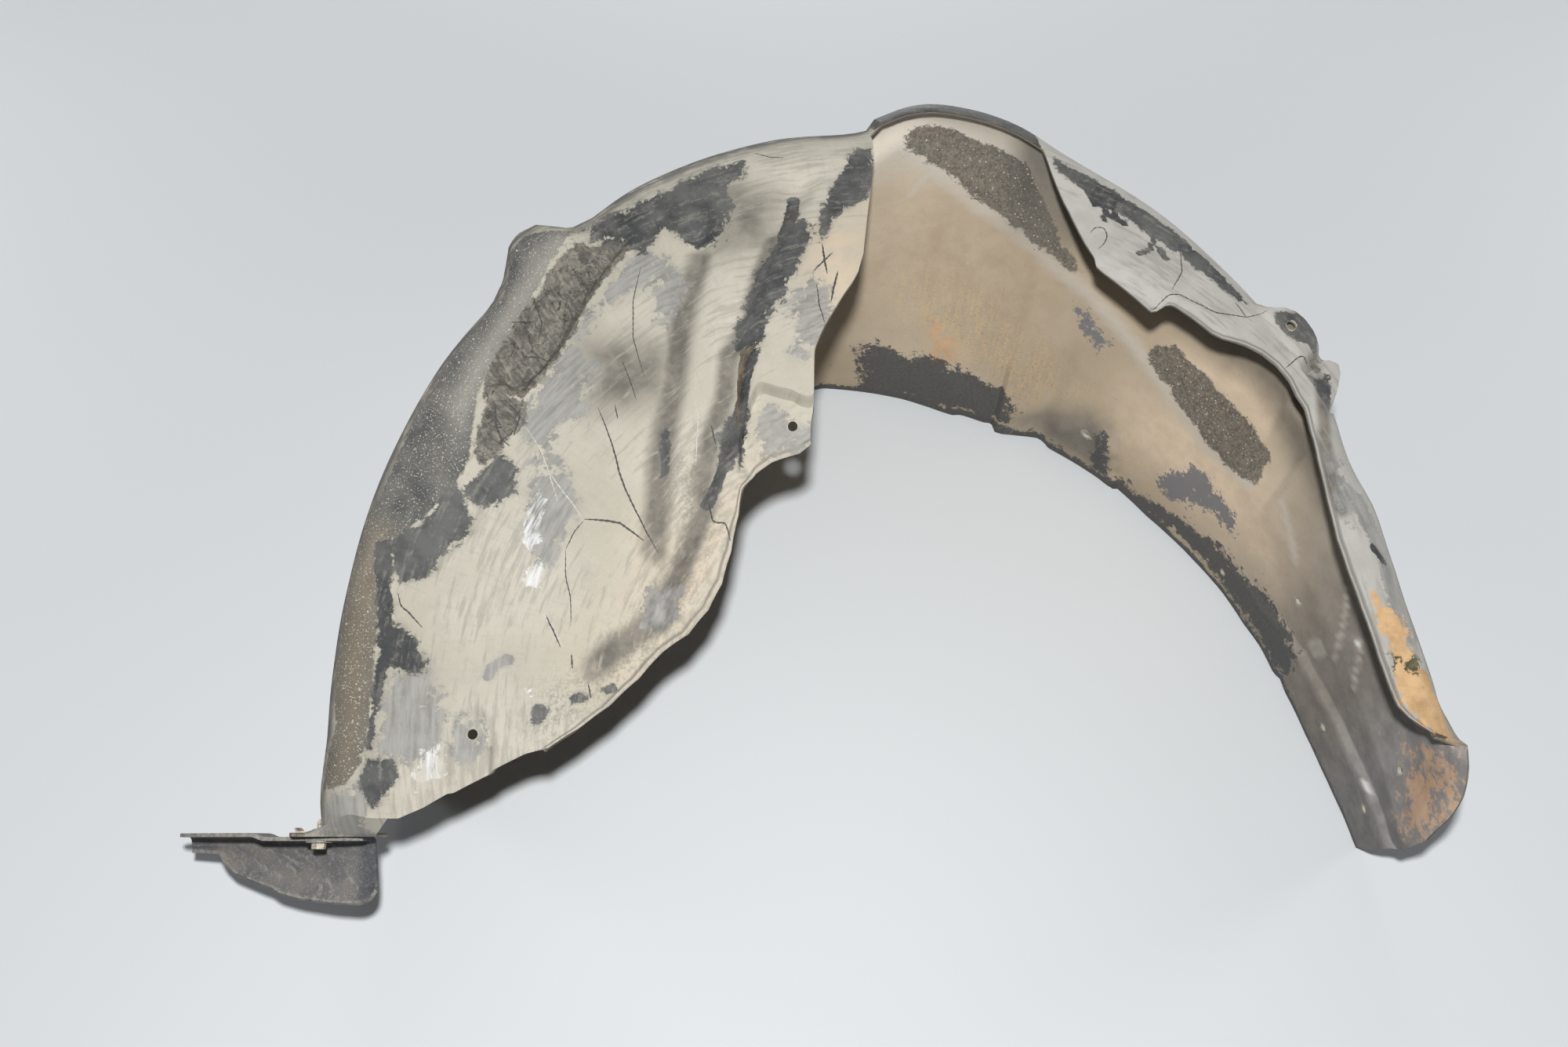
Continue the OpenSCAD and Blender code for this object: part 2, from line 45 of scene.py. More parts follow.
LOOK_DOWN = 62                                      # degrees below level
SENSOR, LENS_PIXELS, FRAME_PIXELS = 36, 1915, 2000


def place(name, data):
    """A new object that holds the data, linked to the scene."""
    ob = bpy.data.objects.new(name, data)
    bpy.context.scene.collection.objects.link(ob)
    return ob


cam = place("camera", bpy.data.cameras.new("camera"))
cam.location = EYE
cam.rotation_euler = (math.radians(90 - LOOK_DOWN), 0, 0)
cam.data.sensor_width, cam.data.lens = SENSOR, SENSOR * LENS_PIXELS / FRAME_PIXELS
cam.data.clip_start, cam.data.clip_end = 0.05, 30
bpy.context.scene.camera = cam


# ---------------------------------------------------------------- table and light
# A pale bluish white photographer's table. A small flash just above the lens throws the hard
# shadows that fall below the part. Three soft panels stand low behind and beside it, so that
# they light its outside and the part itself shades its inside from them.
class Sock:
    """One socket of a material's nodes, so that shader maths reads as plain sums."""

    def __init__(self, tree, out):
        self.tree, self.out = tree, out

    def make(self, kind, sets=None, **ins):
        """A new node: its type, its settings, then its inputs by name or, as i0, i1, by number."""
        n = self.tree.nodes.new(kind)
        for k, v in (sets or {}).items():
            setattr(n, k, v)
        for k, v in ins.items():
            key = int(k[1:]) if k[0] == "i" and k[1:].isdigit() else k.replace("_", " ")
            s = n.inputs[key]
            if isinstance(v, Sock):
                self.tree.links.new(v.out, s)
            elif isinstance(v, (tuple, list)) and len(v) == 3 and len(s.default_value) == 4:
                s.default_value = (*v, 1)
            else:
                s.default_value = v
        return n

    def sock(self, node, out=0):
        """An output of a node, by number or by name."""
        return Sock(self.tree, node.outputs[out])

    def m(self, op, *a, clamp=False):
        """A sum of sockets and numbers."""
        return self.sock(self.make("ShaderNodeMath", {"operation": op, "use_clamp": clamp},
                                   **{"i%d" % i: x for i, x in enumerate(a)}))

    def __add__(self, o): return self.m("ADD", self, o)
    def __radd__(self, o): return self.m("ADD", o, self)
    def __sub__(self, o): return self.m("SUBTRACT", self, o)
    def __rsub__(self, o): return self.m("SUBTRACT", o, self)
    def __mul__(self, o): return self.m("MULTIPLY", self, o)
    def __rmul__(self, o): return self.m("MULTIPLY", o, self)
    def hi(self, o): return self.m("MAXIMUM", self, o)
    def clip(self): return self.m("ADD", self, 0.0, clamp=True)

    def step(self, a, b):
        """0 below a, 1 above b, smooth between."""
        return self.sock(self.make("ShaderNodeMapRange", {"interpolation_type": "SMOOTHSTEP"},
                                   Value=self, From_Min=a, From_Max=b, To_Min=0.0, To_Max=1.0))

    def mix(self, a, b):
        """Colour a where self is 0, b where it is 1."""
        n = self.make("ShaderNodeMix", {"data_type": "RGBA"})
        for i, v in ((0, self), (6, a), (7, b)):
            if isinstance(v, Sock):
                self.tree.links.new(v.out, n.inputs[i])
            else:
                n.inputs[i].default_value = v if i == 0 else (*v, 1)
        return self.sock(n, 2)

    def noise(self, scale, detail=4.0, rough=0.55, stretch=None, at=(0, 0, 0), dist=0.0):
        """Cloudy noise from 0 to 1, with self as its place."""
        v = self
        if stretch or any(at):
            v = self.sock(self.make("ShaderNodeMapping", None, Vector=self, Scale=stretch or (1, 1, 1),
                                    Location=at))
        return self.sock(self.make("ShaderNodeTexNoise", None, Vector=v, Scale=scale, Detail=detail,
                                   Roughness=rough, Distortion=dist))


def rgb(r, g, b):
    """Linear colour of a picture colour."""
    return tuple(((c / 255 + 0.055) / 1.055) ** 2.4 if c > 10.3 else c / 255 / 12.92 for c in (r, g, b))


def new_material(name):
    """A material: itself, its node writer, its shader and the place on the object."""
    mat = bpy.data.materials.new(name)
    mat.use_nodes = True
    t = mat.node_tree
    t.nodes.clear()
    s = Sock(t, None)
    out = s.make("ShaderNodeOutputMaterial")
    bsdf = s.make("ShaderNodeBsdfPrincipled")
    t.links.new(bsdf.outputs[0], out.inputs[0])
    where = s.sock(s.make("ShaderNodeTexCoord"), 3)
    return mat, s, bsdf, where


def feed(bsdf, **ins):
    """Gives a shader its inputs, as sockets or as values."""
    for k, v in ins.items():
        s = bsdf.inputs[k.replace("_", " ")]
        if isinstance(v, Sock):
            v.tree.links.new(v.out, s)
        else:
            s.default_value = (*v, 1) if isinstance(v, tuple) and len(v) == 3 else v


def looking(s):
    """1 for rays by which the camera sees a thing, itself or mirrored, and 0 for those that light others."""
    path = s.make("ShaderNodeLightPath")
    return s.sock(path, "Is Camera Ray").hi(s.sock(path, "Is Glossy Ray")).hi(s.sock(path, "Is Transmission Ray"))


TABLE_X, TABLE_FRONT, TABLE_BACK, TABLE_Z = 1.7, -1.5, 1.9, -0.0006
table = place("table", bpy.data.meshes.new("table"))
corners = [(-TABLE_X, TABLE_FRONT), (TABLE_X, TABLE_FRONT), (TABLE_X, TABLE_BACK), (-TABLE_X, TABLE_BACK)]
table.data.from_pydata([(x, y, TABLE_Z) for x, y in corners], [], [(0, 1, 2, 3)])
mat, s, bsdf, where = new_material("table_white")
seen = looking(s)
soft = where.noise(1.3, 2.0, 0.5)
# painted light: the floor is painted brighter away from the part, where the flash's light falls off
far = s.sock(s.make("ShaderNodeVectorMath", {"operation": "LENGTH"}, Vector=where), 1).step(0.3, 1.0)
white = far.mix(soft.mix(rgb(211, 216, 220), rgb(219, 223, 227)), rgb(244, 248, 252))
feed(bsdf, Base_Color=seen.mix(rgb(140, 141, 142), white), Roughness=0.6)
bsdf.inputs["Specular IOR Level"].default_value = 0.15
table.data.materials.append(mat)

world = bpy.data.worlds.new("room")
bpy.context.scene.world = world
world.use_nodes = True
s = Sock(world.node_tree, None)
seen = looking(s)
room = world.node_tree.nodes["Background"]
room.inputs[0].default_value = (0.93, 0.97, 1.0, 1)
world.node_tree.links.new((seen * 0.75 + 0.05).out, room.inputs[1])


def lamp(name, at, target, size, power, tint=(1, 1, 1)):
    """A round soft lamp, in metres and watts, that faces its target."""
    d = bpy.data.lights.new(name, "AREA")
    d.shape, d.size, d.energy, d.color = "DISK", size, power, tint
    o = place(name, d)
    o.location = at
    v = np.array(target) - np.array(at)
    o.rotation_euler = (math.atan2(math.hypot(v[0], v[1]), -v[2]), 0, math.atan2(-v[0], v[1]))


lamp("flash", EYE + np.array([0.0, 0.07, 0.125]), (0.0, 0.0, 0.1), size=0.05, power=16.0, tint=(1, 0.99, 0.97))
lamp("panel_behind", (0.0, 1.8, 0.42), (0, 0.1, 0.1), size=0.7, power=10.0)
lamp("panel_left", (-1.6, 0.5, 0.32), (-0.2, 0, 0.1), size=0.6, power=6.0)
lamp("panel_right", (1.6, 0.5, 0.32), (0.2, 0, 0.1), size=0.6, power=6.0)
bpy.context.scene.view_settings.view_transform = "Standard"


# ---------------------------------------------------------------- liner
# The liner is one sheet of black polypropylene, 2.5 mm thick, pressed or injection moulded: a band
# round the tyre, a large side wall on one leg, a narrow one on the other, and an opening for
# the strut between them. It lies on its fender edge, under dry pale dust and brown mud.
R, WALL, RISE, T = 0.350, 0.203, 0.26, 0.0025         # arch radius, wall height, its slope, thickness

# Tables by degrees round the arch: radii as shares of R, places as shares of the wall's width or of
# the band's height, and how much of a step there is. Those named TURN go by such a share and
# hold degrees.
SHOULDER = [(-6, 0.998), (-3, 0.983), (0, 0.978), (3, 0.972), (7, 0.961), (12, 0.953), (18, 0.957),
    (22.6, 0.967), (25.3, 0.963), (28, 0.966), (30.6, 0.979), (33, 0.997), (39, 1.011), (46, 1.032),
    (53, 1.051), (60, 1.075), (68, 1.097), (72, 1.114), (76, 1.144), (80, 1.159), (85, 1.165), (88, 1.152),
    (91, 1.12), (94, 1.113), (100, 1.121), (108, 1.119), (116, 1.113), (123, 1.092), (130, 1.074),
    (136, 1.072), (142, 1.065), (150, 1.048), (157, 1.036), (166, 1.02), (174, 1.012), (182, 1.01),
    (188, 1.026), (192, 1.024)]
EDGE = [(-6, 1.03), (-4.4, 1.021), (-2.3, 1.007), (0.1, 0.995), (3.2, 0.979), (6.3, 0.967), (10.7, 0.956),
    (16.4, 0.95), (18.3, 0.954), (19.2, 0.946), (23, 0.95), (26.9, 0.947), (32.4, 0.953), (38.5, 0.955),
    (43, 0.958), (47, 0.962), (52, 0.977), (55.5, 0.988), (59.3, 0.995), (63.6, 1.003), (64.4, 1.014),
    (65.5, 1.019), (68.2, 1.006), (71.2, 0.993), (71.7, 1.009), (73.1, 1.003), (76.9, 1.011),
    (77.1, 1.003), (79.2, 1.009), (84.7, 1.032), (90, 1.048), (95.2, 1.063), (110, 1.03), (130, 1),
    (160, 0.985), (192, 0.99)]
INNER = [(-3, 1), (-2.6, 0.959), (-1.8, 0.935), (-0.8, 0.912), (0.5, 0.894), (2.7, 0.884), (5.9, 0.874),
    (8.6, 0.87), (11.9, 0.865), (16.2, 0.863), (20.1, 0.867), (24.6, 0.882), (29, 0.902), (32.3, 0.923),
    (34.7, 0.941), (36.3, 0.943), (38.1, 0.952), (40.2, 0.954), (42.3, 0.947), (44.1, 0.934),
    (46.5, 0.909), (47.9, 0.902), (50.8, 0.902), (53.3, 0.9), (53.9, 0.895), (54.3, 0.885), (54.6, 0.87),
    (55.1, 0.864), (56.3, 0.867), (60.4, 0.88), (62.7, 0.888), (64.3, 0.898), (66, 0.89), (69, 0.887),
    (72.3, 0.86), (76, 0.84), (91.4, 0.626), (107, 0.483), (110, 0.477), (116, 0.487), (120, 0.486),
    (125, 0.469), (129, 0.436), (136, 0.399), (144, 0.375), (152, 0.371), (160, 0.386), (166, 0.42),
    (173, 0.453), (179, 0.5), (183, 0.552), (186, 0.61)]
LUG = [(33, 0), (34, 0.35), (35, 0.8), (36.2, 1.25), (37.1, 1.4), (38, 1.2), (38.8, 0.75), (39.6, 0.68),
    (40.6, 0.75), (42, 0.75), (43.2, 0.65), (44.2, 0.45), (45, 0.15), (45.8, 0), (121, 0), (123.4, 0.2),
    (126, 1.1), (128, 1.3), (129.3, 1.2), (130.6, 0.8), (132, 0.4), (134, 0.1), (135.5, 0)]
OPEN_TURN = [(0, 0), (0.1, -0.5), (0.2, -0.5), (0.35, 0.1), (0.5, 0.9), (0.62, 1.6), (0.69, 2.6),
    (0.72, 3.6), (0.77, 6.6), (0.8, 9.6), (0.82, 11.2), (0.87, 12.2), (0.94, 13.8), (1, 15.7)]
FOOT_TURN = [(0, 0), (0.14, 0), (0.22, 0.8), (0.34, 1.5), (0.45, 0.9), (0.6, -0.6), (0.75, -2.1),
    (0.9, -3.9), (1, -4.4)]
STRIP = [(91, 0.09), (118, 0.09), (124, 0.07), (130, 0.075), (136, 0.08), (142, 0.1), (150, 0.13),
    (156, 0.12), (160, 0.075), (170, 0.075), (180, 0.07), (191, 0.07)]
TAB = [(91, 0.9), (105, 0.93), (108, 0.86), (113, 0.79), (118, 0.865), (123, 0.95), (127, 0.93),
    (140, 0.88), (190, 0.88)]
TAB_DROP = [(104, 0.9), (106, 1), (121, 1), (124, 0.2), (127, 0)]
RIDGE = [(-5, 0.48), (30, 0.48), (37, 0.5), (42, 0.485), (47, 0.505), (52, 0.51), (56, 0.536),
    (58.4, 0.569), (62.8, 0.6), (65.6, 0.64), (69, 0.68), (74, 0.712), (78, 0.752), (84, 0.832),
    (88, 0.89), (100, 0.8), (120, 0.6), (190, 0.55)]
END_TURN = [(0, -1.7), (0.2, -3.9), (0.45, -6), (0.6, -6.3), (0.75, -5.2), (0.85, -3.9), (0.95, -1.9),
    (1, 0)]
LEFT_TURN = [(0, -14), (0.3, -11), (0.6, -7), (0.8, -4), (0.93, -1.6), (1, 0)]
RIGHT_DROP = [(33.8, 0.4), (34.8, 0.1), (46, 0.1), (46.8, 0.4)]
LUG_LOW = [(33, 0), (33.8, 1), (38.4, 1), (39.2, 0)]
LUG_PAD = [(39.2, 0), (39.8, 1), (45, 1), (46, 0)]
SEAM = [(-3, 0.36), (0, 0.35), (3, 0.325), (6, 0.297), (10, 0.28), (15, 0.245), (20, 0.222), (26, 0.18),
    (34, 0.17)]
PAD = [(53, 0), (55.2, 0.173), (58.7, 0.251), (64.5, 0.105), (71.4, 0.025), (72, 0)]
BAND_ROWS = [0, .018, .07, .13, .17, .21, .3, .4, .5, .6, .7, .79, .87, .93, .97, 1]
VALLEY_A = np.array([(-.35, .86), (-.383, .7), (-.397, .6), (-.416, .49), (-.42, .34)]) * R
VALLEY_B = np.array([(-.16, .97), (-.22, .86), (-.255, .77), (-.278, .69), (-.283, .56), (-.303, .49),
                     (-.337, .42), (-.357, .35), (-.39, .28), (-.417, .17)]) * R
POCKET = np.array([(-.56, .91), (-.48, .87), (-.55, .77), (-.61, .65), (-.68, .565), (-.75, .6), (-.71, .68),
                   (-.65, .79)]) * R
TAB_HOLE, SEAT, LUG_HOLE = (np.array(p) * R for p in ((-.1795, .4835), (-.744, -.037), (.762, .696)))
SEAT_R, VALLEY_W = .015, .015
VALLEY_DEEP, POCKET_DEEP, SEAT_DEEP = .006, .007, .004
HUMP_AT, HUMP, HUMP_W = np.array((-.06, .64)) * R, 0.033, 0.062


def look(x, t):
    """The value of table t at x."""
    return np.interp(x, [p[0] for p in t], [p[1] for p in t])


def soft_look(x, t, w):
    """The same with its corners rounded over w."""
    return (look(x - w, t) + 2 * look(x, t) + look(x + w, t)) / 4


def ease(x):
    """0 below 0, 1 above 1, smooth between."""
    c = np.clip(x, 0, 1)
    return c * c * (3 - 2 * c)


def bump(x):
    """1 at 0, falling smoothly to 0 at -1 and 1."""
    return np.where(np.abs(x) < 1, (1 - np.clip(x * x, 0, 1)) ** 2, 0)


def to_line(p, line):
    """Distance of points p (n, 2) from a line of points."""
    best = np.full(len(p), 1e9)
    for a, b in zip(line[:-1], line[1:]):
        a, d = np.array(a, float), np.array(b, float) - np.array(a, float)
        t = np.clip(((p - a) @ d) / (d @ d), 0, 1)
        best = np.minimum(best, np.linalg.norm(p - a - t[:, None] * d, axis=1))
    return best


def inside(p, poly):
    """Distance inside (+) or outside (-) a closed outline."""
    poly = np.array(poly, float)
    gap = to_line(p, np.vstack([poly, poly[:1]]))
    odd = np.zeros(len(p), bool)
    for a, b in zip(poly, np.roll(poly, -1, 0)):
        cross = (a[1] > p[:, 1]) != (b[1] > p[:, 1])
        x = a[0] + (p[:, 1] - a[1]) * (b[0] - a[0]) / ((b[1] - a[1]) or 1e-9)
        odd ^= cross & (p[:, 0] < x)
    return np.where(odd, gap, -gap)


def wall_z(p):
    """Height of the side walls at points p, without what is pressed into them."""
    n = np.linalg.norm(p, axis=1)
    hump = HUMP * np.exp(-(np.linalg.norm(p - HUMP_AT, axis=1) / HUMP_W) ** 2 / 2)
    hump += 0.3 * HUMP * ease((p[:, 0] - .2 * R) / (.3 * R)) * ease((p[:, 1] - .3 * R) / (.4 * R)) * (
        1 - ease((n / R - .9) / .12))
    return WALL + RISE * p[:, 1] + hump


def relief(p):
    """What is pressed into the large side wall at points p: two valleys, a pocket and a screw seat."""
    seat = np.minimum(np.linalg.norm(p - SEAT, axis=1), to_line(p, [SEAT, SEAT - (0, 2 * SEAT_R)]))
    valleys = .8 * bump(to_line(p, VALLEY_A) / VALLEY_W) + bump(to_line(p, VALLEY_B) / VALLEY_W)
    return (-VALLEY_DEEP * valleys - POCKET_DEEP * ease(inside(p, POCKET) / (.02 * R))
            - SEAT_DEEP * ease((SEAT_R - seat) / (.3 * SEAT_R)))


A0, A1, A2, A3 = -2.8, 74.5, 91.5, 190.4              # degrees: the narrow wall, then the large one
LIP, FLARE = 0.009, 0.009
LUG_OUT, EDGE_DROP, LUG_DROP, PAD_RISE, TAB_FALL = .020, .015, .016, .003, .009


def wall_share(k, a, w, right):
    """Share of the wall's width at row k, for real k."""
    pts = np.zeros((20, len(a)))
    pts[1], pts[2] = .5 * LIP / w, LIP / w
    strip, tab = R * soft_look(a, STRIP, 3) / w, soft_look(a, TAB, .6)
    step = tab + 1.2 * T / w
    pts[3] = (LIP / w + strip) / 2
    for i in range(4, 16):
        pts[i] = strip + (tab - strip) * (i - 4) / 11
    for i in range(16, 20):
        pts[i] = step + (1 - step) * (i - 16) / 3
    rr = np.array(pts)
    for i in range(3, 20):
        rr[i] = (LIP + (w - LIP) * (i - 2) / 6) / w
    use = np.where(right[None, :], rr, pts)
    i = np.clip(np.floor(k).astype(int), 0, 18)
    f, n = k - i, np.arange(len(a))
    return use[i, n] * (1 - f) + use[i + 1, n] * f


def wall_at(k, a):
    """The side walls at row k, from 0 at the shoulder to 19 at the free edge, and degree a."""
    right = a < A2 - 1e-6
    u = np.clip((a - A2) / (A3 - A2), 0, 1)
    rim = lambda b: R * soft_look(b, SHOULDER, 1.5)
    w = np.maximum(R * np.where(right, .12, .3), rim(a) - R * look(a, INNER))
    s = np.clip(wall_share(k, a, w, right), 0, 1)
    b = np.where(right, a - 11 * s * ease((a - 34) / (A1 - 34)),
                 a + look(s, OPEN_TURN) * (1 - u) + look(s, FOOT_TURN) * u)
    ro, ri = rim(b), R * look(b, INNER)
    s = wall_share(k, b, ro - ri, right)
    lug = look(b, LUG)
    r = ro + (ri - ro) * s + LUG_OUT * lug * (1 - ease(s * 2.5))
    p = np.stack([r * np.cos(np.radians(b)), r * np.sin(np.radians(b))], 1)
    strip = np.where(right, .04 * R, R * soft_look(b, STRIP, 3))
    in_strip = np.clip((ro - r + LUG_OUT * lug) / strip, 0, 1)
    down = EDGE_DROP * np.where(right, look(b, RIGHT_DROP), 1) * (1 - in_strip) ** 2
    down += np.where(right, LUG_DROP * look(b, LUG_LOW) * ease((r - ro) / .008 + .75)
                     - PAD_RISE * look(b, LUG_PAD) * ease((r - ro) / .004 + 1.5)
                     - .002 * ease(((s - 1) * (ro - ri) + .005) / .0025) * ease((33 - b) / 3), 0)
    tab = np.where(right, 0, TAB_FALL * look(b, TAB_DROP) * ease(k - 15))
    z = wall_z(p) - down - tab + np.where(right, 0, relief(p))
    return np.column_stack([p, z])


def band_at(v, a):
    """The band at share v of its height, from the fender edge, and degree a."""
    top = wall_at(np.zeros(len(a)), a)
    b = (a + look(v, END_TURN) * (1 - np.clip((a - A0) / 30, 0, 1)) ** 2
         + look(v, LEFT_TURN) * np.clip((a - 165) / (A3 - 165), 0, 1) ** 2)
    vr, lug = look(a, RIDGE), look(a, LUG)
    rt = np.linalg.norm(top[:, :2], axis=1) - LUG_OUT * lug
    re = R * soft_look(a, EDGE, .3)
    r = (re + T + (rt - re - T) * ease(v) - .003 * np.clip(v / .02, 0, 1) * (1 - v)
         + FLARE * ease((2 - a) / 5) * bump((v - .92) / .3) + .004 * ease(-a - 1.8) * ease((v - .3) / .1)
         + .005 * ease((34 - a) / 10) * (ease((v - look(a, SEAM)) / .03 + .5) - .8 * v)
         - .004 * ease((look(a, PAD) - v) / .02)
         + .007 * np.where(v > vr, np.sin(np.pi * (v - vr) / (1 - vr)), 0)
         + LUG_OUT * lug * ease((v - .84) / .12))
    return np.column_stack([r * np.cos(np.radians(b)), r * np.sin(np.radians(b)), top[:, 2] * v])


LEAN, FOOT_Y, FOOT_H = math.radians(16), -.2 * R, .052
FOOT_DIR = np.array([0, math.sin(LEAN), -math.cos(LEAN)])
FOOT_OUT = np.array([0, -math.cos(LEAN), -math.sin(LEAN)])
FOOT_TOP = WALL + RISE * FOOT_Y - .045 * R


def fold_line(k):
    """The fold above the foot flange, at rows k of the side wall."""
    return np.column_stack([R * (-1.09 + .16 * (k / 6)), np.full(len(k), FOOT_Y), np.full(len(k), FOOT_TOP)])


def foot_at(k, m):
    """The wall's last stretch and the flange: from the wall, m 0, over the fold, 1, to the flange's edge, 3."""
    q = fold_line(k) + (m - 1)[:, None] * FOOT_H / 2 * FOOT_DIR
    p = wall_at(k, np.full(len(k), A3))
    first = q.copy()
    first[:, 0] = (p[:, 0] + 2 * q[:, 0]) / 3
    first[:, 1:] = (FOOT_Y, FOOT_TOP)
    f = np.clip(m, 0, 1)[:, None]
    near = p * (1 - f) + first * f
    far = first + (m - 1)[:, None] * (fold_line(k) + FOOT_H / 2 * FOOT_DIR - first)
    return np.where((m <= 1)[:, None], near, np.where((m <= 2)[:, None], far, q))


# rows: from the fender edge up the band, then in along the side wall; stations: from the right foot
fine = lambda a, b, n: list(np.linspace(a, b, n, endpoint=False))
rows_band = sum([fine(i, i + 1, n) for i, n in enumerate([2, 2, 3, 3, 3, 4, 4, 5, 5, 5, 5, 5, 4, 4, 4])], [])
rows_wall = fine(0, 2, 6) + fine(2, 4, 10) + fine(4, 15, 78) + fine(15, 16, 4) + fine(16, 19, 24) + [19.0]
stations = (list(np.interp(np.linspace(0, 1, 151), [0, .382, .735, 1], [A0, 33.8, 47.2, A1])[:-1]) + fine(A1, A2, 22)
            + fine(A2, A3, 172) + [A3])
feet = [.35, .7, 1, 1.5, 2, 2.5, 3]
nb, nw, ns = len(rows_band), len(rows_wall), len(stations)
K = np.array(rows_wall)
kk, jj = np.meshgrid(K, np.array(stations), indexing="ij")
wall = wall_at(kk.ravel(), jj.ravel()).reshape(nw, ns, 3)
vb = np.interp(rows_band, range(16), BAND_ROWS)
vv, jj = np.meshgrid(vb, np.array(stations), indexing="ij")
vv += (look(jj, SEAM) - .19) * look(vv, [(.07, 0), (.17, 1), (.21, 1), (.5, 0)])
band = band_at(vv.ravel(), jj.ravel()).reshape(nb, ns, 3)
kf, mf = np.meshgrid(np.clip(K, 0, 6), np.array(feet), indexing="ij")
foot = foot_at(kf.ravel(), mf.ravel()).reshape(nw, len(feet), 3)
grid = np.zeros((nb + nw, ns + len(feet), 3))
grid[:nb, :ns], grid[nb:, :ns], grid[nb:, ns:] = band, wall, foot
at_a = np.array(stations + [A3] * len(feet))
seg = np.linalg.norm(np.diff(wall, axis=0), axis=2)
run = np.vstack([np.zeros(ns), np.cumsum(seg, axis=0)])                   # length in along the side wall
ends = np.where(at_a[:ns] < A1 + .01, np.searchsorted(K, 8), nw - 1)
rim = 1000 * (run[ends, np.arange(ns)][None, :] - run)                    # mm to the wall's free edge
grid[nb:, :ns, 2] -= np.where(at_a[:ns] > A2 - .01, .0007 * bump((rim - 4.2) / 1.5), 0)
cells = np.zeros((nb + nw - 1, ns + len(feet) - 1), bool)
cells[:nb, :ns - 1] = True
k_mid = (K[1:] + K[:-1]) / 2
a_mid = (at_a[1:ns] + at_a[:ns - 1]) / 2
cells[nb:, :ns - 1] = np.where(a_mid[None, :] < A1, k_mid[:, None] < 8,
                               np.where(a_mid[None, :] < A2, k_mid[:, None] < 2, True))
cells[nb:, ns - 1:] = (k_mid < 6)[:, None]


def shell(name, grid, cells, t, flat=None):
    """Closed sheet of thickness t below a grid of points, where cells are filled.
    Returns the object and, for each vertex, its row, its column and its face (0 given, 1 offset)."""
    pad = np.pad(cells, 1)
    quad = np.stack([pad[:-1, :-1], pad[:-1, 1:], pad[1:, 1:], pad[1:, :-1]])   # cells round each vertex
    used = quad.any(0)
    ids = np.full(used.shape, -1)
    ids[used] = np.arange(used.sum())
    i, j = np.nonzero(used)
    up, dn = quad[2:].any(0)[i, j], quad[:2].any(0)[i, j]
    rt, lf = quad[1:3].any(0)[i, j], quad[[0, 3]].any(0)[i, j]
    along = grid[np.minimum(i + up, grid.shape[0] - 1), j] - grid[i - dn, j]
    across = grid[i, np.minimum(j + rt, grid.shape[1] - 1)] - grid[i, j - lf]
    n = np.cross(across, along)
    n /= np.linalg.norm(n, axis=1)[:, None] + 1e-12
    if flat is not None:
        low = i == flat
        n[low, 2] = 0
        n[low] /= np.linalg.norm(n[low], axis=1)[:, None]
    p = grid[i, j]
    verts = np.vstack([p, p + t * n])
    nu = len(p)
    ci, cj = np.nonzero(cells)
    a, b, c, d = ids[ci, cj], ids[ci, cj + 1], ids[ci + 1, cj + 1], ids[ci + 1, cj]
    outer = np.stack([a, b, c, d], 1)
    sides = []
    for (e0, e1), di, dj in (((a, b), -1, 0), ((c, d), 1, 0), ((d, a), 0, -1), ((b, c), 0, 1)):
        edge = ~pad[ci + 1 + di, cj + 1 + dj]
        sides.append(np.stack([e0[edge], e0[edge] + nu, e1[edge] + nu, e1[edge]], 1))
    faces = np.vstack([outer, outer[:, ::-1] + nu] + sides)
    if t > 0:
        faces = faces[:, ::-1]
    me = bpy.data.meshes.new(name)
    me.from_pydata((verts - MIDDLE).tolist(), [], faces.tolist())
    me.update()
    return place(name, me), np.concatenate([i, i]), np.concatenate([j, j]), np.repeat([0, 1], nu)


liner, vi, vj, vf = shell("liner_sheet", grid, cells, -T, flat=0)


def smooth(ob, angle=38):
    """Smooth shading with sharp edges kept where faces meet at more than angle."""
    me = ob.data
    me.shade_smooth()
    me.set_sharp_from_angle(angle=math.radians(angle))


def drill(ob, at, along, r, depth=.012, n=40):
    """Cuts a round hole of radius r through a sheet."""
    a = np.array(along) / np.linalg.norm(along)
    u = np.cross(a, (.3, .5, .81))
    u /= np.linalg.norm(u)
    w = np.cross(a, u)
    turn = np.linspace(0, 2 * math.pi, n, endpoint=False)
    ring = [np.array(at) + r * (math.cos(q) * u + math.sin(q) * w) for q in turn]
    v = [p - a * depth for p in ring] + [p + a * depth for p in ring]
    f = [tuple(range(n))[::-1], tuple(range(n, 2 * n))] + [(i, (i + 1) % n, n + (i + 1) % n, n + i) for i in range(n)]
    me = bpy.data.meshes.new("cutter")
    me.from_pydata([tuple(p) for p in v], [], f)
    cut = place("cutter", me)
    mod = ob.modifiers.new("hole", "BOOLEAN")
    mod.object, mod.operation, mod.solver = cut, "DIFFERENCE", "EXACT"
    return cut


def apply_all(ob, cutters):
    """Turns the object's modifiers into plain mesh and removes the cutters."""
    dg = bpy.context.evaluated_depsgraph_get()
    me = bpy.data.meshes.new_from_object(ob.evaluated_get(dg))
    ob.modifiers.clear()
    old, ob.data = ob.data, me
    me.name = old.name
    bpy.data.meshes.remove(old)
    for c in cutters:
        bpy.data.objects.remove(c)


def paint(ob, name, values):
    at = ob.data.attributes.new(name, "FLOAT", "POINT")
    at.data.foreach_set("value", np.ascontiguousarray(values, np.float32))


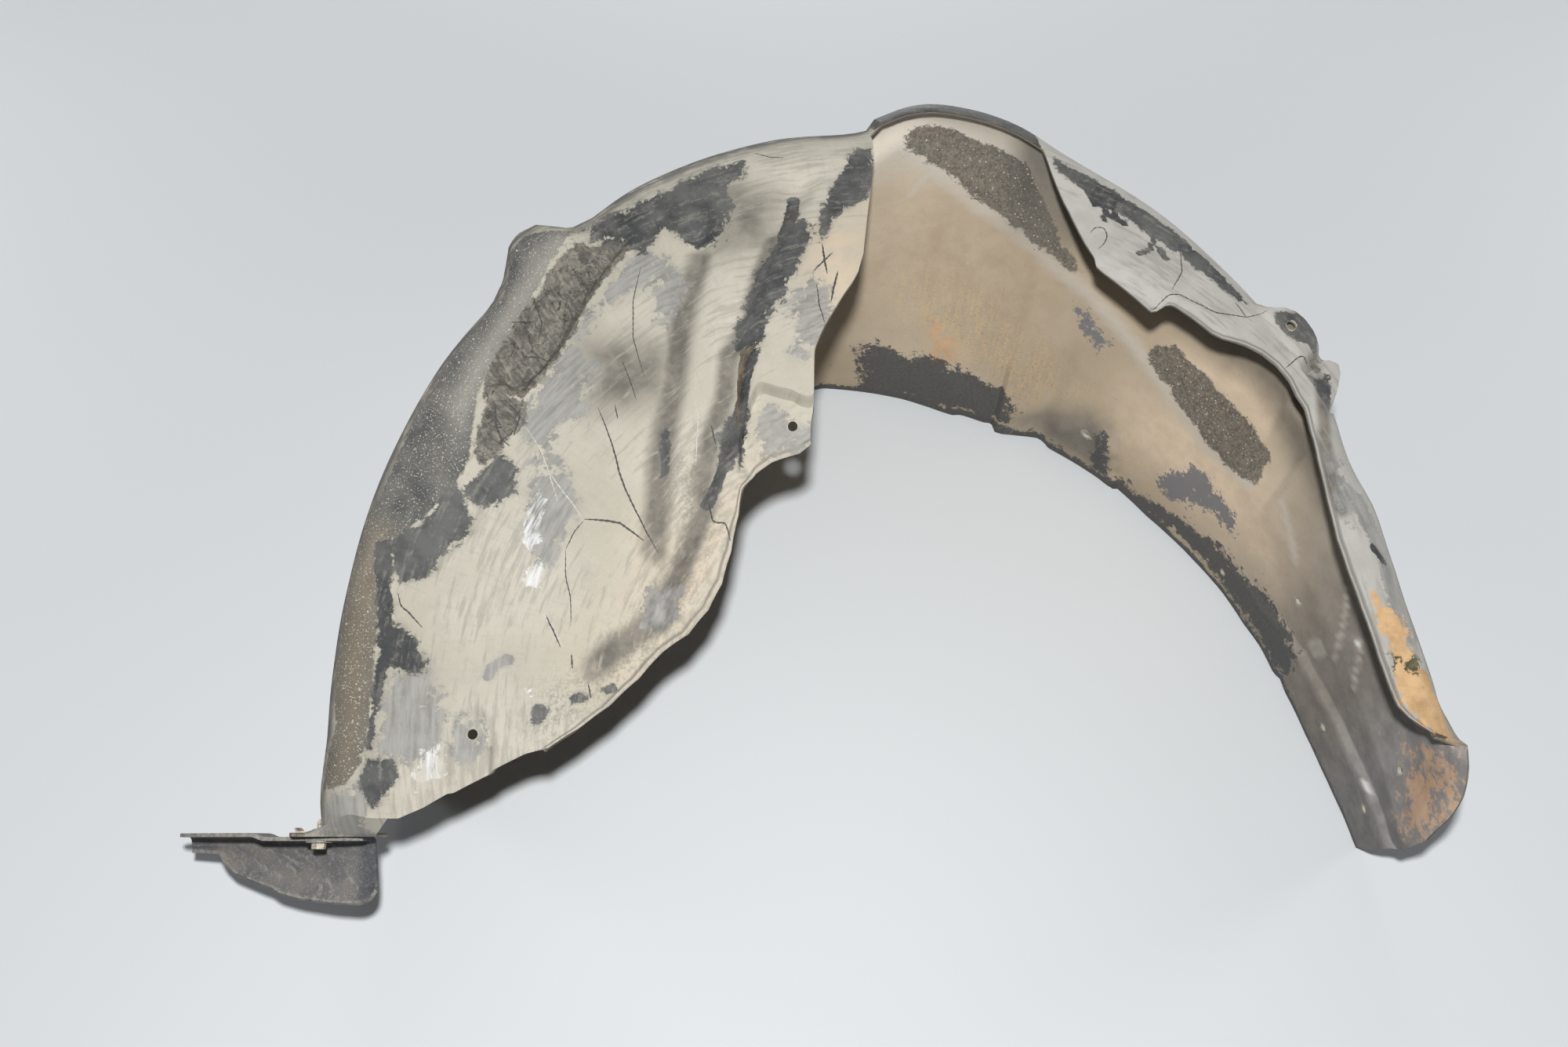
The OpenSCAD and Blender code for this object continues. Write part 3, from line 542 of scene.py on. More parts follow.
# where the dust has gone: on the side walls in mm from the wheel centre, on the band in degrees
# round the arch and mm above the fender edge. Each patch starts with how soft its edge is, in mm.
WALL_AREAS = {
    "bare": [
        (9, [(-203, 314), (-172, 327), (-146, 337), (-120, 353), (-95, 359), (-96, 349), (-106, 340), (-108, 313),
            (-112, 297), (-128, 299), (-137, 308), (-148, 311), (-156, 306), (-162, 297), (-172, 302), (-185, 307)]),
        (7, [(-67, 301), (-56, 309), (-50, 298), (-58, 279), (-67, 258), (-75, 244), (-79, 230), (-85, 221),
            (-92, 216), (-97, 220), (-98, 238), (-90, 250), (-85, 277), (-74, 289)]),
        (6, [(-103, 179), (-92, 183), (-92, 163), (-100, 150), (-107, 146), (-108, 166)]),
        (6, [(-36, 330), (-30, 345), (-20, 363), (-11, 367), (-8, 351), (-11, 332), (-23, 323), (-32, 314),
            (-39, 302), (-42, 294), (-41, 316)]),
        (6, [(-318, 104), (-295, 117), (-288, 129), (-279, 137), (-270, 122), (-268, 108), (-284, 99), (-290, 88),
            (-297, 81), (-308, 79), (-313, 90)]),
        (6, [(-271, 138), (-259, 150), (-249, 158), (-241, 149), (-242, 137), (-253, 128), (-264, 129)]),
        (6, [(-322, 55), (-308, 50), (-297, 43), (-292, 25), (-302, 23), (-312, 26), (-320, 26)]),
        (5, [(-326, -46), (-324, -29), (-308, -30), (-304, -39), (-312, -49), (-318, -58)]),
        (4, [(-327, 104), (-317, 104), (-313, 50), (-316, 22), (-319, 3), (-322, -25), (-325, -25), (-323, 3),
            (-321, 41)]),
        (3, [(-203, 8), (-194, 10), (-190, 7), (-199, 5)]),
        (3, [(-179, 12), (-173, 15), (-171, 13), (-177, 10)]),
        (3, [(-221, 3), (-214, 0), (-216, -6), (-221, -9), (-223, -3)]),
        (3, [(-147, 176), (-142, 178), (-142, 148), (-146, 146)]),
        (4, [(116, 360), (145, 345), (170, 328), (196, 309), (225, 280), (240, 261), (234, 261), (215, 280),
            (195, 297), (170, 315), (144, 335), (119, 354)]),
        (4, [(286, 226), (295, 220), (296, 206), (290, 194), (286, 200)]),
        (3, [(257, 252), (272, 253), (280, 244), (283, 230), (268, 235), (260, 243)]),
    ],
    "grit": [
        (6, [(-353, -44), (-353, -25), (-346, -9), (-350, 22), (-349, 50), (-346, 89), (-338, 119), (-327, 142),
            (-312, 185), (-293, 220), (-274, 251), (-254, 269), (-250, 299), (-243, 310), (-206, 315), (-217, 299),
            (-233, 267), (-247, 242), (-259, 221), (-266, 201), (-269, 177), (-271, 154), (-281, 137), (-298, 118),
            (-316, 106), (-320, 82), (-322, 58), (-323, 25), (-324, -7), (-327, -31), (-336, -44)]),
    ],
    "pale": [
        (10, [(-210, 309), (-215, 295), (-228, 275), (-245, 247), (-257, 224), (-267, 201), (-276, 177), (-285, 190),
            (-273, 222), (-254, 253), (-237, 280), (-222, 305)]),
    ],
    "brown": [
        (10, [(-349, -48), (-346, -11), (-351, 22), (-348, 55), (-344, 94), (-333, 119), (-319, 111), (-321, 80),
            (-322, 50), (-324, 22), (-326, -11), (-330, -37)]),
    ],
    "pocket": [
        (5, [(-224, 283), (-206, 304), (-172, 307), (-164, 300), (-177, 287), (-187, 274), (-199, 255), (-204, 242),
            (-215, 224), (-226, 206), (-237, 196), (-251, 201), (-264, 196), (-263, 211), (-257, 229), (-246, 250),
            (-228, 271)]),
        (8, [(-262, 194), (-251, 198), (-235, 194), (-236, 180), (-247, 167), (-263, 149), (-268, 170)]),
    ],
    "worn": [
        (9, [(-161, 296), (-144, 288), (-133, 276), (-138, 250), (-143, 236), (-149, 251), (-152, 278), (-165, 271),
            (-176, 262), (-190, 252), (-200, 232), (-189, 216), (-194, 199), (-200, 184), (-215, 176), (-207, 149),
            (-201, 129), (-200, 117), (-209, 103), (-216, 93), (-227, 97), (-232, 124), (-228, 144), (-225, 159),
            (-235, 177), (-236, 190), (-226, 206), (-213, 224), (-199, 253), (-176, 282)]),
        (6, [(-151, 75), (-145, 78), (-135, 74), (-136, 58), (-146, 50), (-155, 54), (-155, 67)]),
        (10, [(-313, 22), (-295, 29), (-284, 13), (-280, 0), (-280, -16), (-289, -28), (-298, -34), (-305, -29),
            (-316, -28), (-319, 0)]),
        (8, [(-351, -71), (-351, -53), (-336, -46), (-322, -48), (-317, -58), (-324, -74)]),
        (8, [(-81, 188), (-67, 183), (-50, 169), (-52, 161), (-67, 159), (-80, 156), (-86, 163)]),
        (8, [(-268, -8), (-253, -7), (-250, -21), (-260, -26), (-269, -23)]),
        (10, [(-49, 265), (-36, 245), (-22, 233), (-42, 214), (-62, 212), (-64, 238), (-57, 254)]),
        (8, [(282, 163), (292, 158), (300, 129), (296, 119), (287, 124), (283, 143)]),
        (6, [(312, 70), (324, 65), (327, 50), (322, 36), (318, 55)]),
    ],
    "dull": [
        (12, [(-120, 334), (-99, 341), (-72, 331), (-80, 301), (-98, 291), (-111, 292), (-108, 313)]),
        (12, [(-198, 232), (-170, 236), (-144, 229), (-146, 198), (-169, 189), (-192, 190)]),
    ],
    "speckle": [
        (16, [(-115, 128), (-127, 104), (-141, 79), (-156, 55), (-175, 46), (-187, 26), (-213, 12), (-222, -7),
            (-212, -16), (-184, 3), (-155, 26), (-136, 50), (-124, 79), (-114, 103)]),
        (14, [(-138, 148), (-115, 166), (-115, 128), (-127, 104)]),
        (12, [(-230, 313), (-172, 307), (-177, 285), (-223, 280)]),
    ],
    "warm": [
        (14, [(-48, 297), (-35, 307), (-11, 322), (-13, 239), (-25, 220), (-39, 211), (-44, 235), (-52, 265)]),
        (10, [(-82, 177), (-67, 162), (-80, 154), (-87, 157)]),
        (30, [(-152, 104), (-117, 123), (-98, 127), (-104, 74), (-126, 41), (-165, 17), (-185, 31), (-156, 70)]),
    ],
    # glossy worn spots, painted with a white highlight
    "shine": [
        (4, [(-233, 104), (-231, 127), (-223, 137), (-220, 129), (-223, 109), (-229, 97)]),
        (2.5, [(-232, 81), (-227, 88), (-219, 87), (-221, 82), (-223, 75), (-230, 76)]),
        (2.5, [(-227, 12), (-223, 14), (-222, 9), (-226, 7)]),
        (5, [(-298, -39), (-287, -25), (-280, -21), (-279, -39), (-293, -44)]),
    ],
    "mud": [
        (5, [(305, 71), (308, 71), (311, 62), (321, 55), (325, 48), (322, 35), (315, 32), (311, 43), (307, 55)]),
        (5, [(317, 26), (324, 21), (334, 12), (340, -9), (341, -18), (332, -11), (323, -3), (318, 7)]),
    ],
    "olive": [
        (8, [(312, 35), (322, 37), (331, 26), (336, 7), (328, 8), (320, 16), (314, 26)]),
    ],
}
WALL_LINES = {
    "bare": [
        (5, [(-61, 329), (-63, 314), (-67, 302)]),
        (4.5, [(-88, 216), (-92, 202), (-95, 183), (-98, 165), (-105, 151), (-111, 138), (-116, 128)]),
        (2.2, [(144, 336), (150, 328), (148, 318)]),
        (2.4, [(152, 328), (157, 328), (154, 320), (162, 315)]),
        (1.8, [(163, 323), (175, 324)]),
        (1.6, [(181, 305), (176, 295), (168, 291)]),
        (1.8, [(184, 297), (187, 290)]),
        (2.5, [(143, 328), (137, 341), (130, 348)]),
        (2.5, [(308, 100), (315, 91)]),
    ],
    "worn": [
        (4, [(-252, 21), (-248, 27), (-239, 31)]),
        (6, [(302, 129), (313, 99), (321, 65), (327, 46)]),
    ],
    "dull": [
        (9, [(-123, 288), (-132, 261), (-136, 234), (-139, 207), (-144, 178), (-147, 153), (-148, 129), (-150, 99)]),
        (7, [(-75, 300), (-83, 271), (-88, 243), (-103, 219), (-105, 194), (-115, 166), (-121, 137)]),
        (9, [(-117, 128), (-126, 104), (-136, 79), (-147, 55), (-165, 43), (-185, 26)]),
        (5, [(285, 226), (284, 200), (282, 168), (285, 138), (290, 124)]),
    ],
    "mud": [
        (4, [(333, 22), (340, 0), (343, -16)]),
    ],
}
BAND_AREAS = {
    "dark": [
        (12, [(91.3, 67), (87.5, 66), (85.1, 58), (80.3, 65), (76.9, 63), (73.5, 55), (70.6, 48), (69.5, 28),
            (71.8, 7), (77.1, 9), (83.7, 5), (90.5, 8)]),
        (9, [(70.7, 7), (64.3, 15), (59.6, 13), (53.3, 5), (56.8, 54), (58.1, 62), (57, 7), (62.4, 17), (68, 9)]),
        (12, [(68, 9), (55.5, 0), (51.2, 21), (46.4, 28), (41.9, 36), (36.3, 45), (29.6, 44), (24.3, 46), (19, 49),
            (18.2, 19), (25.2, 15), (32.6, 13), (42, 15), (50.2, 0), (58.4, 11)]),
        (8, [(29.1, 51), (22.1, 50), (20.7, 53), (19.1, 33), (23.7, 18), (28, 26)]),
    ],
    "bluedark": [
        (9, [(48.3, 58), (45.8, 74), (43.3, 97), (42.2, 101), (38.6, 89), (36.5, 89), (34.8, 72), (39.1, 69),
            (42.2, 62), (45.4, 45), (47.2, 48)]),
        (10, [(65.8, 160), (62.7, 160), (60, 148), (61.8, 139), (64.8, 147)]),
    ],
    "padgrey": [
        (10, [(71, 13), (58.9, 73), (56.7, 65), (54.4, 30), (55.9, 14), (63.5, 16)]),
    ],
    "gravel": [
        (7, [(87.9, 270), (87.4, 276), (84.7, 278), (79.9, 270), (74.9, 265), (72.6, 243), (69.7, 219), (67.2, 202),
            (65.4, 193), (66.8, 192), (70.1, 203), (74.2, 212), (78.4, 223), (83.4, 246)]),
        (6, [(55.8, 155), (55.7, 166), (53.1, 177), (51.5, 173), (40.3, 168), (36.6, 157), (36.8, 142), (36.4, 128),
            (38.7, 126), (43.5, 126), (50.3, 139)]),
    ],
    "gold": [
        (25, [(89, 130), (83.7, 149), (76, 141), (68.2, 116), (59.8, 94), (53.7, 68), (49, 46), (54.4, 30),
            (59.7, 65), (68.7, 30), (76.1, 66), (84.6, 74)]),
    ],
    "umber": [
        (40, [(88.8, 216), (78.6, 208), (69.3, 179), (68.7, 131), (76.9, 139), (83.7, 149), (89.1, 138)]),
    ],
    "tan": [
        (30, [(56.1, 113), (49.8, 132), (38.9, 129), (26.9, 102), (26.4, 68), (36.9, 69), (48, 64), (54.7, 62)]),
        (20, [(51.6, 171), (45.7, 172), (38, 169), (37.6, 210), (43.4, 204), (48.9, 181)]),
    ],
    "rust": [
        (8, [(82.4, 104), (81.1, 105), (79.7, 86), (78.8, 100), (78.7, 71), (80.6, 57), (81.6, 81)]),
        (14, [(2.9, 133), (-1.5, 177), (-2.7, 178), (-2.2, 159), (-1.9, 110), (-1.9, 97), (0.3, 114)]),
    ],
}
BAND_LINES = {
    "bare": [
        (1.5, [(80.1, 201), (79.8, 201)]),
        (2, [(89.4, 175), (88.5, 173)]),
    ],
    "pale": [
        (7, [(87.7, 266), (83.3, 240), (78.8, 220), (74, 208), (69.9, 197), (65.6, 182), (61, 169), (57.3, 156),
            (51.3, 137), (43.9, 123), (37.3, 125)]),
        (2, [(19.4, 144), (16.8, 120), (14.7, 90)]),
        (1.6, [(14.3, 131), (11.1, 100)]),
        (2, [(86.4, 221), (85.3, 233), (84.1, 246)]),
        (3.5, [(32.2, 140), (28.1, 125), (26.2, 115)]),
        (3, [(18.3, 67), (17.6, 83), (16.6, 82), (16.9, 67), (18.3, 67)]),
    ],
    # glossy specks, painted with white glints
    "shine": [
        (2, [(3, 64), (2.4, 65)]),
        (2, [(14.7, 127), (14.3, 129)]),
    ],
}
verts = np.zeros(len(liner.data.vertices) * 3)
liner.data.vertices.foreach_get("co", verts)
verts = verts.reshape(-1, 3)
ang = at_a[vj]
row_v = np.concatenate([vb, np.ones(nw)])[vi]
on_wall, top_face = vi >= nb, vf == 0
big = top_face & on_wall & (ang > A2 - .01)
narrow = top_face & on_wall & (ang < A1 + .01)
within = (vf == 1) & ~on_wall
flat_mm = (verts + MIDDLE)[:, :2] * 1000
DEG_MM = 6.11                                       # mm of fender edge in one degree
band_mm = np.column_stack([ang * DEG_MM, verts[:, 2] * 1000])
to_rim = np.concatenate([np.full((nb, ns), 99.0), rim])[vi, np.minimum(vj, ns - 1)]
to_rim[vj >= ns] = 99
in_mm = run[np.maximum(vi - nb, 0), np.minimum(vj, ns - 1)] * 1000        # in along the wall from its shoulder


def spread(areas, lines, name, p, only, k=(1, 1)):
    """How much of a finish lies at points p: 1 within its patches and strokes, 0 away from them."""
    m = np.zeros(len(p))
    for shapes, filled in ((areas, True), (lines, False)):
        for w, pts in shapes.get(name, []):
            g = np.array(pts, float) * k
            near = only & ((p > g.min(0) - 4 * w - 9) & (p < g.max(0) + 4 * w + 9)).all(1)
            q = p[near]
            share = .5 + inside(q, g) / max(3 * w, 9) if filled else 1.3 - to_line(q, g) / (1.1 * w)
            m[near] = np.maximum(m[near], ease(share))
    return m


finishes = list(dict.fromkeys([*WALL_AREAS, *WALL_LINES, *BAND_AREAS, *BAND_LINES]))
mask_at = {n: np.maximum(spread(WALL_AREAS, WALL_LINES, n, flat_mm, top_face & on_wall),
                         spread(BAND_AREAS, BAND_LINES, n, band_mm, within, (DEG_MM, 1))) for n in finishes}
mask_at["bare"] = np.maximum(mask_at["bare"], (top_face & on_wall & (ang > A1) & (ang < A2)) * 1.0)
mask_at["dark"] = np.maximum(mask_at["dark"], ease(1.3 - (row_v - .012) / .035) * within)
mask_at["crumbs"] = np.maximum(mask_at["gravel"], .55 * mask_at["grit"])
# painted shade: a dark line by the walls' free edge, where the large wall has a groove in its shape
mask_at["lip"] = np.maximum(bump((to_rim - 4.2) / 1.7) * big, bump((to_rim - 2.5) / 1.4) * narrow)
# a lighter rim along the walls' free edge: rubbed wear and a painted highlight of the rounded edge
mask_at["edge"] = np.where(on_wall, ease(1.2 - to_rim / 1.4), 0)
mask_at["leg"] = ease((42 - ang) / 30) * within
# painted shadow: the band's inside is darker under the narrow wall's free edge, where that wall shades it
mask_at["eave"] = ease((row_v - .64) / .16) * ease((78 - ang) / 4) * ease((ang - 18) / 14) * within
mask_at["foot"] = ease((12 - ang) / 9) * within
mask_at["crest"] = ease((row_v - .72) / .2) * ease((ang - 60) / 20) * within
# a dark band along the large wall's rounded shoulder, widest near 122 degrees: bare plastic and painted shade where
# the sheet turns down
mask_at["shoulder"] = np.where(big, ease(1 - (in_mm - 2) / (9 + 16 * bump((ang - 122) / 36))), 0)
mask_at["within"], mask_at["narrow"] = within * 1.0, narrow * 1.0
mask_at["outside"], mask_at["under"] = (top_face & ~on_wall) * 1.0, ((vf == 1) & on_wall) * 1.0
for n, value in mask_at.items():
    paint(liner, n, value)
from_centre = np.linalg.norm(flat_mm, axis=1) / 1000
sheet = np.column_stack([np.radians(ang) * R, np.where(on_wall, from_centre, verts[:, 2])])
loop_v = np.zeros(len(liner.data.loops), np.int32)
liner.data.loops.foreach_get("vertex_index", loop_v)
liner.data.uv_layers.new(name="sheet").data.foreach_set("uv", sheet[loop_v].astype(np.float32).ravel())


def square_to(f, a, b, e=1e-3):
    """Direction square to a surface f(a, b)."""
    A, B = np.array([a]), np.array([b])
    n = np.cross(f(A + e, B) - f(A - e, B), f(A, B + e) - f(A, B - e))[0]
    return n / np.linalg.norm(n)


def wall_top(x, y):
    """Points of the side walls' top face."""
    p = np.column_stack([x, y])
    return np.column_stack([p, wall_z(p) + relief(p)])


WALL_HOLE_R, BAND_HOLE_R, PIN_HOLE_R, SCREW_HOLE_R = .00325, .0031, .00217, .002575
BAND_HOLES = [(59.1, .168, BAND_HOLE_R), (22.9, .366, BAND_HOLE_R), (9.9, .184, BAND_HOLE_R),
              (.9, .258, BAND_HOLE_R), (2.7, .574, BAND_HOLE_R), (33.5, .103, PIN_HOLE_R)]     # degree, share, radius
holes = []
for c, lift in ((TAB_HOLE, 0), (SEAT, 0), (LUG_HOLE, .003)):
    e = SEAT_R / 2
    z = lambda x, y: wall_top(np.array([x]), np.array([y]))[0, 2]
    d = (z(c[0] - e, c[1]) - z(c[0] + e, c[1]), z(c[0], c[1] - e) - z(c[0], c[1] + e), 2 * e)
    holes.append(drill(liner, (c[0] - MIDDLE[0], c[1] - MIDDLE[1], z(*c) + lift), d, WALL_HOLE_R, depth=.0175))
for a, v, r in BAND_HOLES:
    at = band_at(np.array([v]), np.array([float(a)]))[0] - MIDDLE
    holes.append(drill(liner, at, square_to(band_at, v, float(a)), r))
SCREW = np.array([-1.03 * R, FOOT_Y, FOOT_TOP]) + .020 * FOOT_DIR
holes.append(drill(liner, SCREW - MIDDLE, FOOT_OUT, SCREW_HOLE_R, depth=.0125))
apply_all(liner, holes)
smooth(liner)

mat, s, bsdf, where = new_material("dusty_black_plastic")
along = s.sock(s.make("ShaderNodeUVMap", {"uv_map": "sheet"}))


def painted(s, names):
    """The painted masks of these names, for a material."""
    return {n: s.sock(s.make("ShaderNodeAttribute", {"attribute_name": n}), 2) for n in names}


mask = painted(s, mask_at)
cloud = where.noise(9, 4, .55)
mid = where.noise(55, 6, .65)
flake = where.noise(170, 9, .75, dist=.5)
fine_n = where.noise(520, 5, .7)
grain = where.noise(1900, 3, .7)
run_round = along.noise(30, 6, .65, stretch=(1, 9, 1))         # smears that follow the arch
run_down = along.noise(40, 6, .65, stretch=(7, 1, 1))          # smears across it
hair = where.noise(48, 3, .5, at=(3, 1, 2), dist=1.6) - .5
hair = 1 - (hair * hair * 9000).clip()                         # thin curved scratches
ragged = cloud * .15 + mid * .35 + flake * .5


def broken(m, wild):
    """A mask whose edge is broken up, as dust flakes off."""
    return (m + (ragged - .5) * (wild * 3.4)).step(.42, .56) * m.step(.01, .12)


def layers(under, *over):
    """A colour with others over it in turn, each after the share in which it shows."""
    for share, colour in over:
        under = share.mix(under, colour)
    return under


def patchy(a, b):
    """Two colours in soft patches a few centimetres across."""
    return mid.step(.3, .7).mix(rgb(*a), rgb(*b))


# the side walls: cream dust, what shows where it is worn, smeared or gone, and painted highlights and shade
cream = cloud.step(.35, .65).mix(rgb(171, 167, 154), rgb(185, 181, 169))
cream = layers(cream,
               (mid.step(.45, .75) * .45, rgb(158, 155, 145)),
               (run_down.step(.5, .7) * .22, rgb(150, 149, 141)),
               (fine_n.step(.56, .72) * .35, rgb(199, 196, 185)),
               (fine_n.step(.36, .26) * .35, rgb(122, 120, 111)),
               (mask["warm"] * .8 * mid.step(.2, .6), rgb(199, 181, 159)),
               (mask["narrow"] * .9, patchy((168, 167, 163), (182, 180, 175))))
black = (cloud * .5 + mid * .5).step(.4, .6).mix(rgb(46, 47, 49), rgb(88, 88, 87))
black = ((flake * .5 + run_round * .5).step(.5, .6) * .5).mix(black, rgb(130, 128, 121))
blue = (run_round * .6 + mid * .4).step(.38, .62).mix(rgb(102, 102, 102), rgb(150, 149, 147))
col = ((run_round * .6 + cloud * .4).step(.5, .6) * .4).mix(cream, rgb(128, 124, 116))
col = layers(col,
             # bare plastic and painted shade along the rounded shoulder
             (mask["shoulder"] * .85 * (mid * .5 + run_round * .5).step(.34, .54), rgb(76, 76, 76)),
             (mask["speckle"] * (fine_n * .5 + flake * .5).step(.48, .56) * .75, rgb(122, 121, 111)),
             ((mask["dull"] * run_round.step(.15, .5)).clip(), patchy((98, 95, 89), (134, 129, 120))),
             (mask["worn"].step(0, .8) * mid.step(.35, .6) * .6, rgb(142, 139, 132)))
worn_m = broken(mask["worn"], 1.6)
col = (worn_m * .75).mix(col, blue)
pocket_m = broken(mask["pocket"], .7)
pocket = (flake * .6 + run_down * .4).step(.42, .62).mix(rgb(84, 82, 78), rgb(138, 133, 123))
pocket = (hair * .8).mix(pocket, rgb(48, 47, 46))
col = pocket_m.mix(col, pocket)
grit = patchy((78, 79, 79), (112, 111, 107))
grit = mask["pale"].mix(grit, rgb(152, 149, 142))
grit = mask["brown"].mix(grit, cloud.step(.4, .6).mix(rgb(118, 110, 96), rgb(146, 138, 124)))
speck = where.noise(900, 2, .5).step(.60, .68)
grit = (speck * .75).mix(grit, rgb(200, 198, 192))
grit = (fine_n.step(.4, .3) * .6).mix(grit, rgb(58, 57, 55))
grit_m = broken(mask["grit"], .5)
col = grit_m.mix(col, grit)
bare_m = broken(mask["bare"] * 1.22, 1.2)
col = (mask["bare"].step(0, .7) * mid.step(.38, .55) * .7).mix(col, rgb(118, 115, 108))
col = bare_m.mix(col, black)
# glossy worn plastic with a painted white highlight on it; its gloss also lowers the roughness below
gloss_glint_m = broken(mask["shine"], 1.4)
col = (gloss_glint_m * run_round.step(.42, .6) * .8).mix(col, rgb(214, 217, 220))
col = broken(mask["olive"], 1.0).mix(col, flake.step(.4, .6).mix(rgb(70, 67, 52), rgb(112, 104, 78)))
mud_m = broken(mask["mud"], 1.8)
mud = patchy((176, 142, 104), (212, 178, 136))
col = mud_m.mix(col, mud)
# painted shade of the groove along the walls' free edge
col = (mask["lip"] * .75).mix(col, rgb(104, 101, 95))

# the band, seen from inside: brown film, rough grit patches, dark lower edge and a painted shadow under the narrow
# wall
tan = cloud.step(.35, .65).mix(rgb(185, 169, 146), rgb(205, 191, 170))
tan = layers(tan,
             (mask["crest"] * .7, rgb(216, 211, 201)),
             (mask["umber"] * .8, patchy((175, 155, 133), (197, 180, 157))),
             (mask["tan"] * .9, patchy((228, 205, 180), (246, 225, 197))))
leg = patchy((132, 126, 121), (154, 148, 140))
tan = (mask["leg"] * (1 - mask["tan"] * .8)).mix(tan, leg)
tan = (mask["foot"] * .8).mix(tan, patchy((134, 133, 134), (161, 159, 159)))
gold = (run_down * .5 + fine_n * .5).step(.48, .58)
tan = layers(tan,
             (mask["gold"] * gold * .8, rgb(211, 186, 145)),
             (mask["gold"] * fine_n.step(.42, .34) * .6, rgb(127, 112, 92)),
             (mask["pale"] * .7, rgb(202, 196, 186)),
             (flake.step(.60, .68) * .3, rgb(211, 202, 188)),
             (flake.step(.38, .30) * .4, rgb(105, 98, 92)),
             (broken(mask["rust"], 1.8) * .6, patchy((206, 161, 121), (231, 186, 145))),
             (broken(mask["bluedark"], 1.5) * .9, rgb(121, 123, 129)),
             (mask["padgrey"] * .85, patchy((101, 98, 95), (127, 124, 118))))
dark_m = broken(mask["dark"], 1.2)
tan = (dark_m * .94).mix(tan, fine_n.step(.3, .8).mix(rgb(67, 69, 71), rgb(96, 96, 95)))
gravel_m = broken(mask["gravel"], .8)
gravel = (fine_n * .6 + flake * .4).step(.36, .64).mix(rgb(72, 69, 64), rgb(130, 124, 114))
tan = layers(tan,
             (gravel_m * (.92 - mask["leg"] * .3), gravel),
             # painted white glints on glossy specks
             (mask["shine"], rgb(255, 255, 251)),
             # painted shadow of the narrow wall on the band, over the crown and the right leg
             (mask["eave"] * .7, patchy((84, 82, 78), (108, 105, 99))))
col = mask["within"].mix(col, tan)

# the outside and the underside, which the photograph doesn't show: the same plastic under road dust
side = (cloud * .5 + run_down * .5).step(.42, .62).mix(rgb(96, 94, 91), rgb(146, 139, 127))
side = (flake.step(.55, .66) * .5).mix(side, rgb(168, 160, 147))
side = (hair * .35).mix(side, rgb(60, 60, 60))
col = mask["outside"].mix(col, side)
below = (mid * .5 + flake * .5).step(.42, .6).mix(rgb(84, 76, 67), rgb(122, 109, 94))
col = mask["under"].mix(col, below)
# rubbed wear and a painted highlight along the free edge
col = (mask["edge"] * .5 * flake.step(.3, .6)).mix(col, rgb(120, 117, 111))
bare_all = bare_m.hi(dark_m * mask["within"])
rough = (.94 - bare_all * .36 - worn_m * .42 - gloss_glint_m * .55).hi(.25)
height = (grain * .2 + fine_n * .45 + mid * .8 - bare_m * .5 - pocket_m * hair * .8
          + (grit_m + gravel_m * mask["within"]) * (flake * 1.8 + speck * .8))
norm = s.sock(s.make("ShaderNodeBump", None, Strength=.35, Distance=.0012, Height=height))
feed(bsdf, Base_Color=col, Roughness=rough, Normal=norm)
bsdf.inputs["Specular IOR Level"].default_value = .3
liner.data.materials.append(mat)
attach(liner, "root")
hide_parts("liner")


